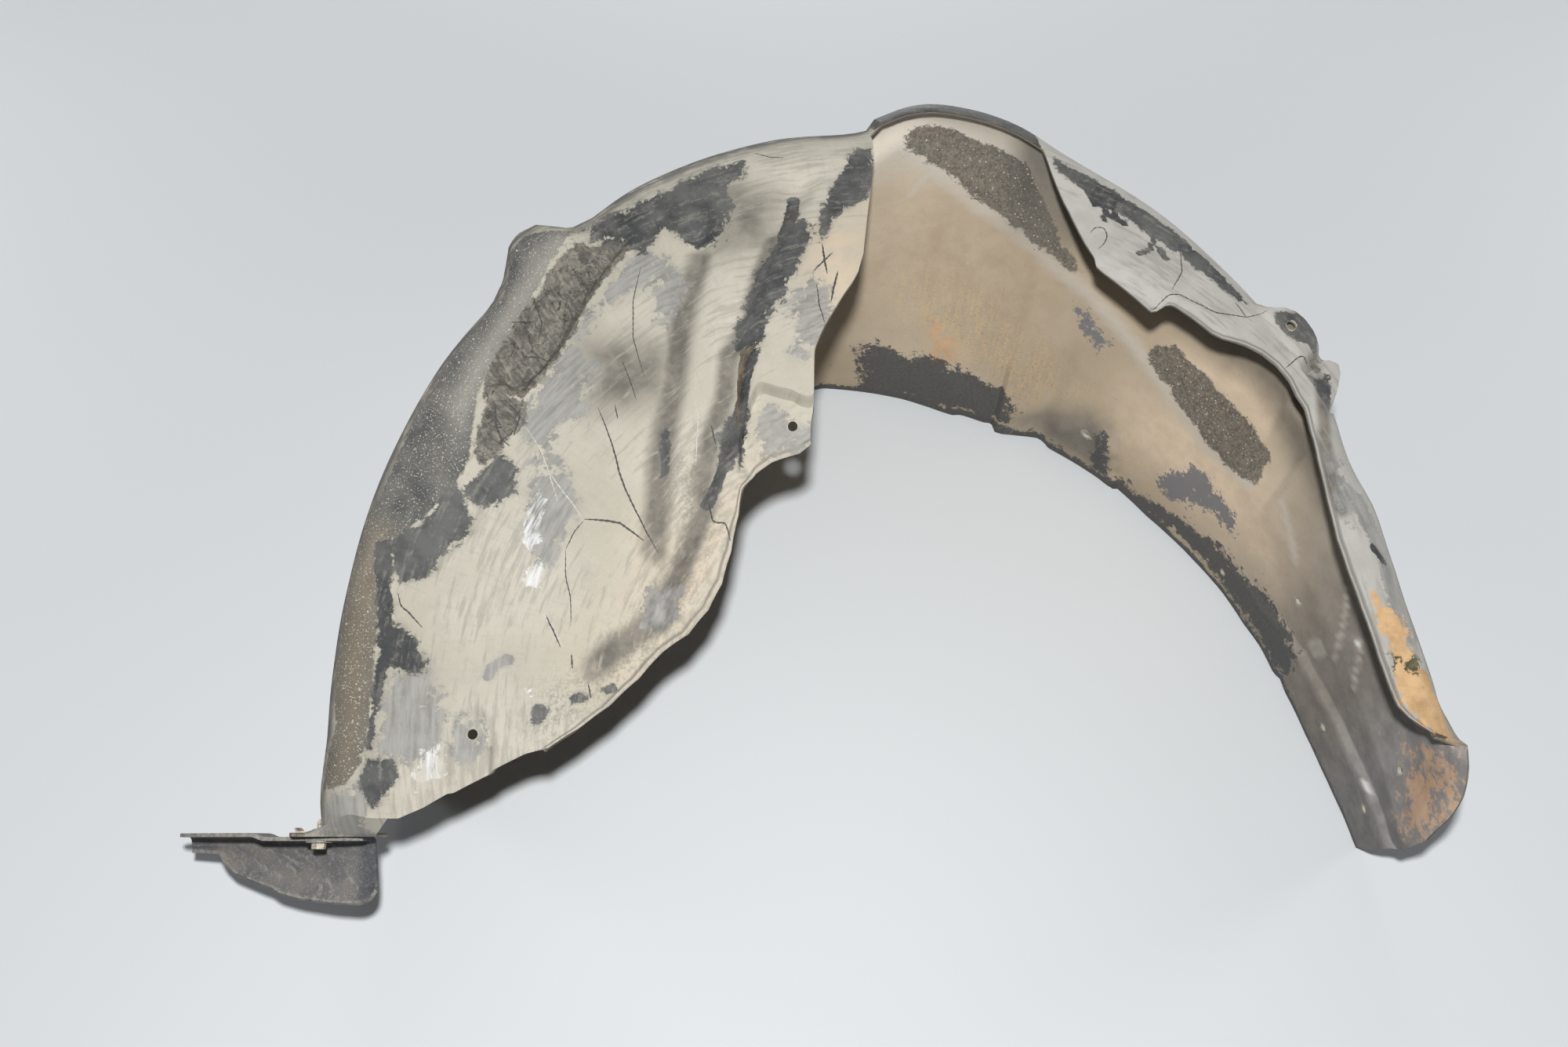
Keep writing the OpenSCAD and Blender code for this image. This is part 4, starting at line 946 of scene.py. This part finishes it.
# ---------------------------------------------------------------- scratches
# Knocks and folds that cut through the dust into the black plastic, and a few pale scuffs. Each is
# a sliver that lies on the sheet and tapers to its ends. First its width in mm, then 1 if dark.
SCRATCHES = [
    (1.3, 1, [(-188, 190), (-177, 165), (-173, 149), (-168, 138), (-154, 109), (-147, 97)]),
    (1.5, 1, [(-195, 118), (-182, 117), (-172, 115), (-163, 109), (-156, 104)]),
    (1.1, -1, [(-220, 60), (-212, 50), (-205, 38)]),
    (1.1, 1, [(-217, 58), (-211, 47), (-207, 38)]),
    (0.8, 1, [(-206, 99), (-205, 82), (-202, 70), (-201, 53)]),
    (0.8, 1, [(-195, 117), (-202, 109), (-206, 99)]),
    (1.1, 1, [(-311, 72), (-309, 64), (-302, 58), (-294, 50)]),
    (1.4, 1, [(-255, 193), (-254, 180), (-250, 170), (-244, 165)]),
    (0.8, 1, [(-162, 285), (-167, 260), (-167, 236), (-158, 209)]),
    (0.8, 1, [(-173, 221), (-167, 205), (-163, 194)]),
    (1.2, 1, [(-115, 128), (-112, 115), (-104, 114), (-101, 103)]),
    (1.4, 1, [(-246, 193), (-238, 185), (-242, 172)]),
    (1.3, 1, [(-200, 34), (-199, 25)]),
    (1.2, 1, [(-189, 16), (-187, 7)]),
    (1.5, 1, [(-42, 290), (-39, 264)]),
    (1.3, 1, [(-35, 282), (-48, 267)]),
    (1.6, 1, [(-32, 266), (-37, 242)]),
    (0.9, 1, [(-46, 257), (-44, 240), (-41, 228)]),
    (0.7, -1, [(-125, 192), (-122, 181), (-124, 152)]),
    (1.2, 1, [(-114, 176), (-111, 165)]),
    (0.9, 1, [(-177, 192), (-175, 182)]),
    (0.8, -1, [(-234, 177), (-224, 162), (-219, 149), (-212, 129)]),
    (0.8, -1, [(-219, 149), (-195, 117)]),
    (0.9, 1, [(-244, 206), (-226, 216), (-214, 224)]),
    (1, 1, [(-233, 264), (-228, 251), (-230, 237)]),
    (1.2, 1, [(-247, 247), (-239, 249), (-233, 252)]),
    (1, 1, [(-240, 228), (-227, 227), (-219, 221)]),
    (1, 1, [(-204, 283), (-197, 273), (-200, 266)]),
    (0.8, 1, [(-88, 368), (-78, 363), (-67, 361)]),
    (0.9, 1, [(137, 306), (141, 311), (147, 311), (149, 305), (146, 297), (141, 293)]),
    (0.9, 1, [(172, 247), (185, 260), (192, 261), (216, 249), (238, 249), (253, 255)]),
    (0.8, 1, [(198, 302), (197, 281), (188, 264)]),
    (0.8, 1, [(260, 214), (271, 224), (279, 224)]),
    (0.8, 1, [(231, 261), (238, 249)]),
]
SLIVER_STEP, SLIVER_LIFT, FIRST_HEIGHT = 1.1, .00018, .5         # mm along it, m off the sheet, m above the table
tree = BVHTree.FromObject(liner, bpy.context.evaluated_depsgraph_get())
v, f, shade, uvs = [], [], [], []
rng = np.random.default_rng(5)
for n, (width, dark, pts) in enumerate(SCRATCHES):
    pts = np.array(pts, float)
    step = np.linalg.norm(np.diff(pts, axis=0), axis=1)
    at = np.concatenate([[0], np.cumsum(step)])
    t = np.linspace(0, at[-1], max(6, int(at[-1] / SLIVER_STEP)))
    line = np.column_stack([np.interp(t, at, pts[:, i]) for i in (0, 1)])
    for i in range(3):
        line[1:-1] = (line[:-2] + 2 * line[1:-1] + line[2:]) / 4
    swell = np.sin(np.pi * t / at[-1])
    line += np.cumsum(rng.normal(0, .09, line.shape), axis=0) * swell[:, None]
    d = np.gradient(line, axis=0)
    d /= np.linalg.norm(d, axis=1)[:, None]
    half = width / 2 * (np.abs(swell) ** .45 + .08) * (1 + .25 * np.sin(1.7 * t + n))
    first = len(v)
    for i in range(len(line)):
        for k in (-1, 1):
            x, y = (line[i] + k * half[i] * np.array([-d[i, 1], d[i, 0]])) / 1000 - MIDDLE[:2]
            hit, normal = tree.ray_cast((x, y, FIRST_HEIGHT), (0, 0, -1))[:2]
            if hit is None:
                hit, normal = v[-1], (0, 0, 0)
            v.append(tuple(np.array(hit) + SLIVER_LIFT * np.array(normal)))
            uvs.append((t[i] / 1000, k))
        if i:
            a = first + 2 * i
            f.append((a - 2, a - 1, a + 1, a))
            shade.append(0 if dark > 0 else 1)
me = bpy.data.meshes.new("scratches")
me.from_pydata(v, [], [g[::-1] for g in f])
uv = me.uv_layers.new(name="sliver")
for loop in me.loops:
    uv.data[loop.index].uv = uvs[loop.vertex_index]
scratches = place("scratches", me)
for name, a, b in (("scratch_dark", rgb(38, 38, 38), rgb(74, 73, 71)),
                   ("scratch_pale", rgb(168, 165, 158), rgb(200, 196, 187))):
    mat, s, bsdf, where = new_material(name)
    sliver = s.sock(s.make("ShaderNodeUVMap", {"uv_map": "sliver"}))
    across = s.sock(s.make("ShaderNodeSeparateXYZ", None, Vector=sliver), 1)
    n = where.noise(700, 4, .6)
    feed(bsdf, Base_Color=n.step(.35, .7).mix(a, b), Roughness=.6 + n * .2,
         Alpha=(1.15 - across * across + (n - .5) * 2.2).step(.4, .6))
    me.materials.append(mat)
me.polygons.foreach_set("material_index", shade)
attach(scratches, "root")


# ---------------------------------------------------------------- grit
# Small stones and crumbs of dried mud that cling to the rough patches of the band and to the
# strip along the outer edge of the large wall.
def growing(name, inputs):
    """A Geometry Nodes tree with named inputs: the tree, its writer, its two ends, its inputs' identifiers."""
    t = bpy.data.node_groups.new(name, "GeometryNodeTree")
    t.interface.new_socket("Geometry", in_out="INPUT", socket_type="NodeSocketGeometry")
    ids = {n: t.interface.new_socket(n, in_out="INPUT", socket_type="NodeSocket" + kind).identifier
           for n, kind in inputs}
    t.interface.new_socket("Geometry", in_out="OUTPUT", socket_type="NodeSocketGeometry")
    s = Sock(t, None)
    return t, s, s.make("NodeGroupInput"), s.make("NodeGroupOutput"), ids


def grown(name, mesh, tree, ids, **values):
    """The plain mesh that a tree makes of a mesh, as an object."""
    ob = place(name, mesh)
    mod = ob.modifiers.new("nodes", "NODES")
    mod.node_group = tree
    for k, value in values.items():
        mod[ids[k]] = value
    apply_all(ob, [])
    return ob


stone_mat, s, bsdf, where = new_material("dried_mud")
n = where.noise(420, 3, .6)
feed(bsdf, Base_Color=n.step(.3, .7).mix(rgb(96, 88, 78), rgb(190, 182, 168)), Roughness=.95)
t, s, start, end, ids = growing("scatter_grit", [("Density", "Float"), ("Size", "Float"), ("Seed", "Int")])
crumb = s.sock(s.make("GeometryNodeInputNamedAttribute", {"data_type": "FLOAT"}, Name="crumbs"))
points = s.make("GeometryNodeDistributePointsOnFaces", None, Mesh=s.sock(start, "Geometry"),
                Density=crumb.step(.35, .75) * s.sock(start, "Density"), Seed=s.sock(start, "Seed"))
stone = s.make("GeometryNodeMeshIcoSphere", None, Radius=s.sock(start, "Size"), Subdivisions=1)
big_or_small = s.make("FunctionNodeRandomValue", {"data_type": "FLOAT"}, i2=.35, i3=1.25, Seed=3)
turned = s.make("FunctionNodeRandomValue", {"data_type": "FLOAT_VECTOR"}, i0=(0, 0, 0), i1=(6.3, 6.3, 6.3), Seed=4)
laid = s.make("GeometryNodeInstanceOnPoints", None, Points=s.sock(points), Instance=s.sock(stone),
              Rotation=s.sock(turned), Scale=s.sock(big_or_small, 1))
solid = s.make("GeometryNodeRealizeInstances", None, Geometry=s.sock(laid))
dressed = s.make("GeometryNodeSetMaterial", None, Geometry=s.sock(solid), Material=stone_mat)
t.links.new(dressed.outputs[0], end.inputs[0])
grit_ob = grown("grit", liner.data.copy(), t, ids, Density=70000.0, Size=.0007, Seed=11)
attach(grit_ob, "root")


# ---------------------------------------------------------------- deflector
# A small wheel air deflector, moulded in the same black plastic: an upright plate that is screwed
# to the liner's foot flange, and a curved flap below it that turns the air off the tyre.
DEFL_W, PLATE_H, FLAP_W, FALL = .142, .040, .039, .058  # width, plate height, flap width, fall of the fold
DEFL_X0 = -.946 * R - DEFL_W
SCREW_SHARE = (SCREW[0] - DEFL_X0) / DEFL_W
FLAP = [(0, .2), (.17, .22), (.21, .45), (.26, .6), (.43, .79), (.62, .93), (.8, .99), (.93, 1), (.98, .93), (1, .78)]
PLATE = [(0, .55), (.06, .8), (.2, .92), (.45, 1), (.93, 1), (1, .8)]


def on_foot(x, z):
    """Points of the foot flange's face at heights z."""
    h = (FOOT_TOP - z) / math.cos(LEAN)
    return np.column_stack([x, np.full(len(x), FOOT_Y), np.full(len(x), FOOT_TOP)]) + h[:, None] * FOOT_DIR


def defl_at(i, u):
    """The sheet at row i, from 0 at the plate's top to 13 at the flap's edge, and share u of its width."""
    x = DEFL_X0 + u * DEFL_W
    low = SCREW[2] - .82 * PLATE_H - FALL * ((1 - u) ** 1.15 - (1 - SCREW_SHARE) ** 1.15)
    ph = PLATE_H * look(u, PLATE)
    base = on_foot(x, low) + (T * (1 - ease((.52 - u) / .07)))[:, None] * FOOT_OUT
    rb = 2.4 * T
    up = base - (rb + (ph - rb) * (4 - i) / 4)[:, None] * FOOT_DIR
    t = np.radians(30 * (i - 4))
    bend = base - rb * FOOT_DIR + (rb * (1 - np.cos(t)))[:, None] * FOOT_OUT + (rb * np.sin(t))[:, None] * FOOT_DIR
    w = np.maximum(1.3 * rb, FLAP_W * soft_look(u, FLAP, .012))
    s = (i - 7) / 6
    droop = .15 * w * s * s - .22 * w * np.sin(np.radians(120 * s))
    flap = base + (rb + s * (w - rb))[:, None] * FOOT_OUT + np.outer(droop, (0, 0, 1))
    return np.where((i <= 4)[:, None], up, np.where((i <= 7)[:, None], bend, flap))


rows = np.array(fine(0, 4, 14) + fine(4, 7, 9) + fine(7, 13, 28) + [13.0])
ii, uu = np.meshgrid(rows, np.linspace(0, 1, 130), indexing="ij")
dgrid = defl_at(ii.ravel(), uu.ravel()).reshape(*ii.shape, 3)
all_cells = np.ones((ii.shape[0] - 1, ii.shape[1] - 1), bool)
deflector, di, dj, _ = shell("deflector_sheet", dgrid, all_cells, T)
du = uu[di, dj]
paint(deflector, "plate", ease(4.5 - ii[di, dj]))
paint(deflector, "corner", ease((du - .86) / .1) + ease((.2 - du) / .1) * .7)
paint(deflector, "rim", ease(2 - np.minimum(di, ii.shape[0] - 1 - di) / 1.2))
apply_all(deflector, [drill(deflector, SCREW - MIDDLE, FOOT_OUT, SCREW_HOLE_R, depth=.0125)])
smooth(deflector)
mat, s, bsdf, where = new_material("scuffed_black_plastic")
mask = painted(s, ("plate", "corner", "rim"))
a, b, c = where.noise(40, 6, .6), where.noise(300, 6, .7), where.noise(1400, 3, .6)
lines = where.noise(60, 5, .65, stretch=(1, 1, 9))
col = a.step(.35, .7).mix(rgb(98, 97, 98), rgb(132, 130, 128))
col = layers(col,
             (a.step(.5, .7) * b.step(.4, .6), rgb(112, 100, 88)),
             (b.step(.5, .68) * .7, rgb(152, 152, 154)),
             (lines.step(.56, .66) * .5, rgb(166, 162, 155)),
             (mask["plate"] * .6, rgb(122, 119, 112)),
             (mask["corner"] * (b * .6 + a * .4).step(.36, .56), rgb(82, 85, 90)),
             (mask["rim"] * .6 * b.step(.35, .6), rgb(176, 172, 164)),
             (c.step(.62, .68) * .6, rgb(206, 204, 198)))
norm = s.sock(s.make("ShaderNodeBump", None, Strength=.35, Distance=.001, Height=b * .7 + c * .3))
feed(bsdf, Base_Color=col, Roughness=.72 + a * .2, Normal=norm)
bsdf.inputs["Specular IOR Level"].default_value = .3
deflector.data.materials.append(mat)
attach(deflector, "root")
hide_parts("deflector")


# ---------------------------------------------------------------- clip
# A spring clip of sheet steel behind the foot flange. Its middle is pressed out into a low
# threaded hub that is slit in two, and its ends are bent away from the flange.
CLIP_L, CLIP_W, CLIP_T, CLIP_HOLE_R, CLIP_GAP = .030, .016, .001, .0022, .00002


def on_screw(x, y, z):
    """Points by the screw: x across the leg, y up the flange, z out of the screw's head."""
    return SCREW + np.outer(x, (1, 0, 0)) - np.outer(y, FOOT_DIR) + np.outer(z, FOOT_OUT)


xx, yy = np.meshgrid(np.linspace(-.5, .5, 91) * CLIP_L, np.linspace(-.5, .5, 49) * CLIP_W, indexing="ij")
x, y = xx.ravel(), yy.ravel()
off = np.hypot(x, y)
away = .0016 * ease((.0062 - off) / .0034) + .0022 * ease((np.abs(x) - .0118) / .0032) ** 1.5
away -= .0006 * ease(1 - np.abs(np.abs(y) - .0066) / .0012) * ease((.0105 - np.abs(x)) / .002)
x_in = x * (1 - .06 * ease((np.abs(x) - .012) / .003))
y_in = y * (1 - .22 * ease((np.abs(x) - .0122) / .0028))
clip_grid = on_screw(x_in, y_in, -T - away - CLIP_GAP).reshape(*xx.shape, 3)
x_mid = np.abs(xx[:-1, :-1] + xx[1:, 1:]) / 2
slit = (np.abs(yy[:-1, :-1] + yy[1:, 1:]) < .0009) & (x_mid > .0026) & (x_mid < .0062)
clip = shell("clip_sheet", clip_grid, ~slit, CLIP_T)[0]
apply_all(clip, [drill(clip, SCREW - MIDDLE - .003 * FOOT_OUT, FOOT_OUT, CLIP_HOLE_R, depth=.006)])
smooth(clip)
steel, s, bsdf, where = new_material("dusty_sheet_steel")
a, b = where.noise(300, 6, .65), where.noise(1500, 3, .6)
col = a.step(.35, .65).mix(rgb(150, 142, 130), rgb(206, 196, 178))
col = b.step(.6, .7).mix(col, rgb(112, 92, 72))
feed(bsdf, Base_Color=col, Roughness=.5 + a * .35, Metallic=.55 - a.step(.45, .65) * .45,
     Normal=s.sock(s.make("ShaderNodeBump", None, Strength=.35, Distance=.0004, Height=b * .5 + a)))
clip.data.materials.append(steel)
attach(clip, "root")
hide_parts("clip")


# ---------------------------------------------------------------- washer
# A plain stamped washer of zinc plated steel, slightly rounded at its edges, dull and dusty.
AROUND = 72
turn = np.linspace(0, 2 * math.pi, AROUND, endpoint=False)


def ring(r, z):
    """Points round the screw's axis at radius r and height z, in mm."""
    return on_screw(r * np.cos(turn) / 1000, r * np.sin(turn) / 1000, np.full(AROUND, z / 1000)) - MIDDLE


def lathe(name, rings, closed):
    """A solid whose skin joins the rings in order, and the last to the first where it is closed."""
    m, n = len(rings), AROUND
    f = [(i * n + j, i * n + (j + 1) % n, (i + 1) % m * n + (j + 1) % n, (i + 1) % m * n + j)
         for i in range(m if closed else m - 1) for j in range(n)]
    if not closed:
        f += [tuple(range(n))[::-1], tuple(range((m - 1) * n, m * n))]
    me = bpy.data.meshes.new(name)
    me.from_pydata(np.vstack(rings).tolist(), [], f)
    me.update()
    return place(name, me)


def outward(ob):
    """Turns the faces of a closed mesh outward."""
    me = ob.data
    me.calc_loop_triangles()
    p = np.array([v.co for v in me.vertices])
    t = np.array([l.vertices[:] for l in me.loop_triangles])
    if np.einsum("ij,ij->i", p[t[:, 0]], np.cross(p[t[:, 1]], p[t[:, 2]])).sum() < 0:
        me.flip_normals()


LOW, HIGH = 2.52, 3.68                              # mm over the back of the deflector's plate
outline = [(2.6, LOW + .15), (2.75, LOW), (7.6, LOW), (7.9, LOW + .12), (8.0, LOW + .4), (8.0, HIGH - .25),
           (7.9, HIGH - .08), (7.7, HIGH), (2.75, HIGH), (2.6, HIGH - .15)]
washer = lathe("washer_turned", [ring(r, z) for r, z in outline], True)
outward(washer)
smooth(washer, 50)


def dull_plate(name, scale, dents, low, high, bright, dust):
    """Dull zinc plate, less and less metallic where dust lies on it."""
    mat, s, bsdf, where = new_material(name)
    a, b = where.noise(scale, 5, .65), where.noise(dents, 3, .6)
    feed(bsdf, Base_Color=a.step(.35, .65).mix(rgb(*low), rgb(*high)), Roughness=.45 + a * .35,
         Metallic=bright - a.step(.45, .65) * dust,
         Normal=s.sock(s.make("ShaderNodeBump", None, Strength=.3, Distance=.0003, Height=b)))
    return mat


washer.data.materials.append(dull_plate("dull_zinc", 700, 2200, (118, 118, 116), (164, 163, 158), .6, .4))
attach(washer, "root")
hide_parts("washer")


# ---------------------------------------------------------------- screw
# A sheet metal screw of zinc plated steel: an 8 mm hex head with chamfered corners, and a pointed
# shank whose rolled thread shows behind the clip.
HEAD_HALF = 4                                       # mm, half of the head across its flats
hexed = HEAD_HALF / np.cos((turn + math.pi / 6) % (math.pi / 3) - math.pi / 6)
shank = [(.12, -11.4), (.95, -9.3), (1.45, -7.6), (1.55, -6.4), (1.55, 3.75)]
head = [(2.0, 3.72), (3.9, 3.72), (4.62, 4.15), (4.62, 7.0), (4.25, 7.55), (3.6, 7.7), (3.0, 7.55), (.4, 7.35)]
rings = [ring(r, z) for r, z in shank] + [ring(np.minimum(hexed, r), z) for r, z in head]
screw = lathe("screw_rolled", rings, False)
rolled = dull_plate("dusty_screw_steel", 900, 2600, (150, 144, 132), (214, 200, 178), .45, .35)
t, s, start, end, ids = growing("roll_thread", [(n, "Float") for n in ("Pitch", "Turns", "Core", "Depth")])
pitch, turns = s.sock(start, "Pitch"), s.sock(start, "Turns")
spiral = s.make("GeometryNodeCurveSpiral", None, Resolution=36, Rotations=turns, Start_Radius=s.sock(start, "Core"),
                End_Radius=s.sock(start, "Core") * .8, Height=pitch * turns)
section = s.make("GeometryNodeCurvePrimitiveCircle", {"mode": "RADIUS"}, Resolution=4, Radius=s.sock(start, "Depth"))
thread = s.make("GeometryNodeCurveToMesh", None, Curve=s.sock(spiral), Profile_Curve=s.sock(section), Fill_Caps=True)
flat = s.make("GeometryNodeRealizeInstances", None, Geometry=s.sock(thread))
dressed = s.make("GeometryNodeSetMaterial", None, Geometry=s.sock(flat), Material=rolled)
t.links.new(dressed.outputs[0], end.inputs[0])
thread_ob = grown("thread", bpy.data.meshes.new("thread"), t, ids, Pitch=.0015, Turns=6.4, Core=.0016, Depth=.00055)
p = np.array([tuple(v.co) for v in thread_ob.data.vertices])
p = on_screw(p[:, 0], p[:, 1], -.0006 - p[:, 2]) - MIDDLE
thread_ob.data.vertices.foreach_set("co", p.astype(np.float32).ravel())
thread_ob.data.update()
screw.data.materials.append(rolled)
for ob in (screw, thread_ob):
    outward(ob)
    smooth(ob, 35)
    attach(ob, "root")
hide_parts("screw")
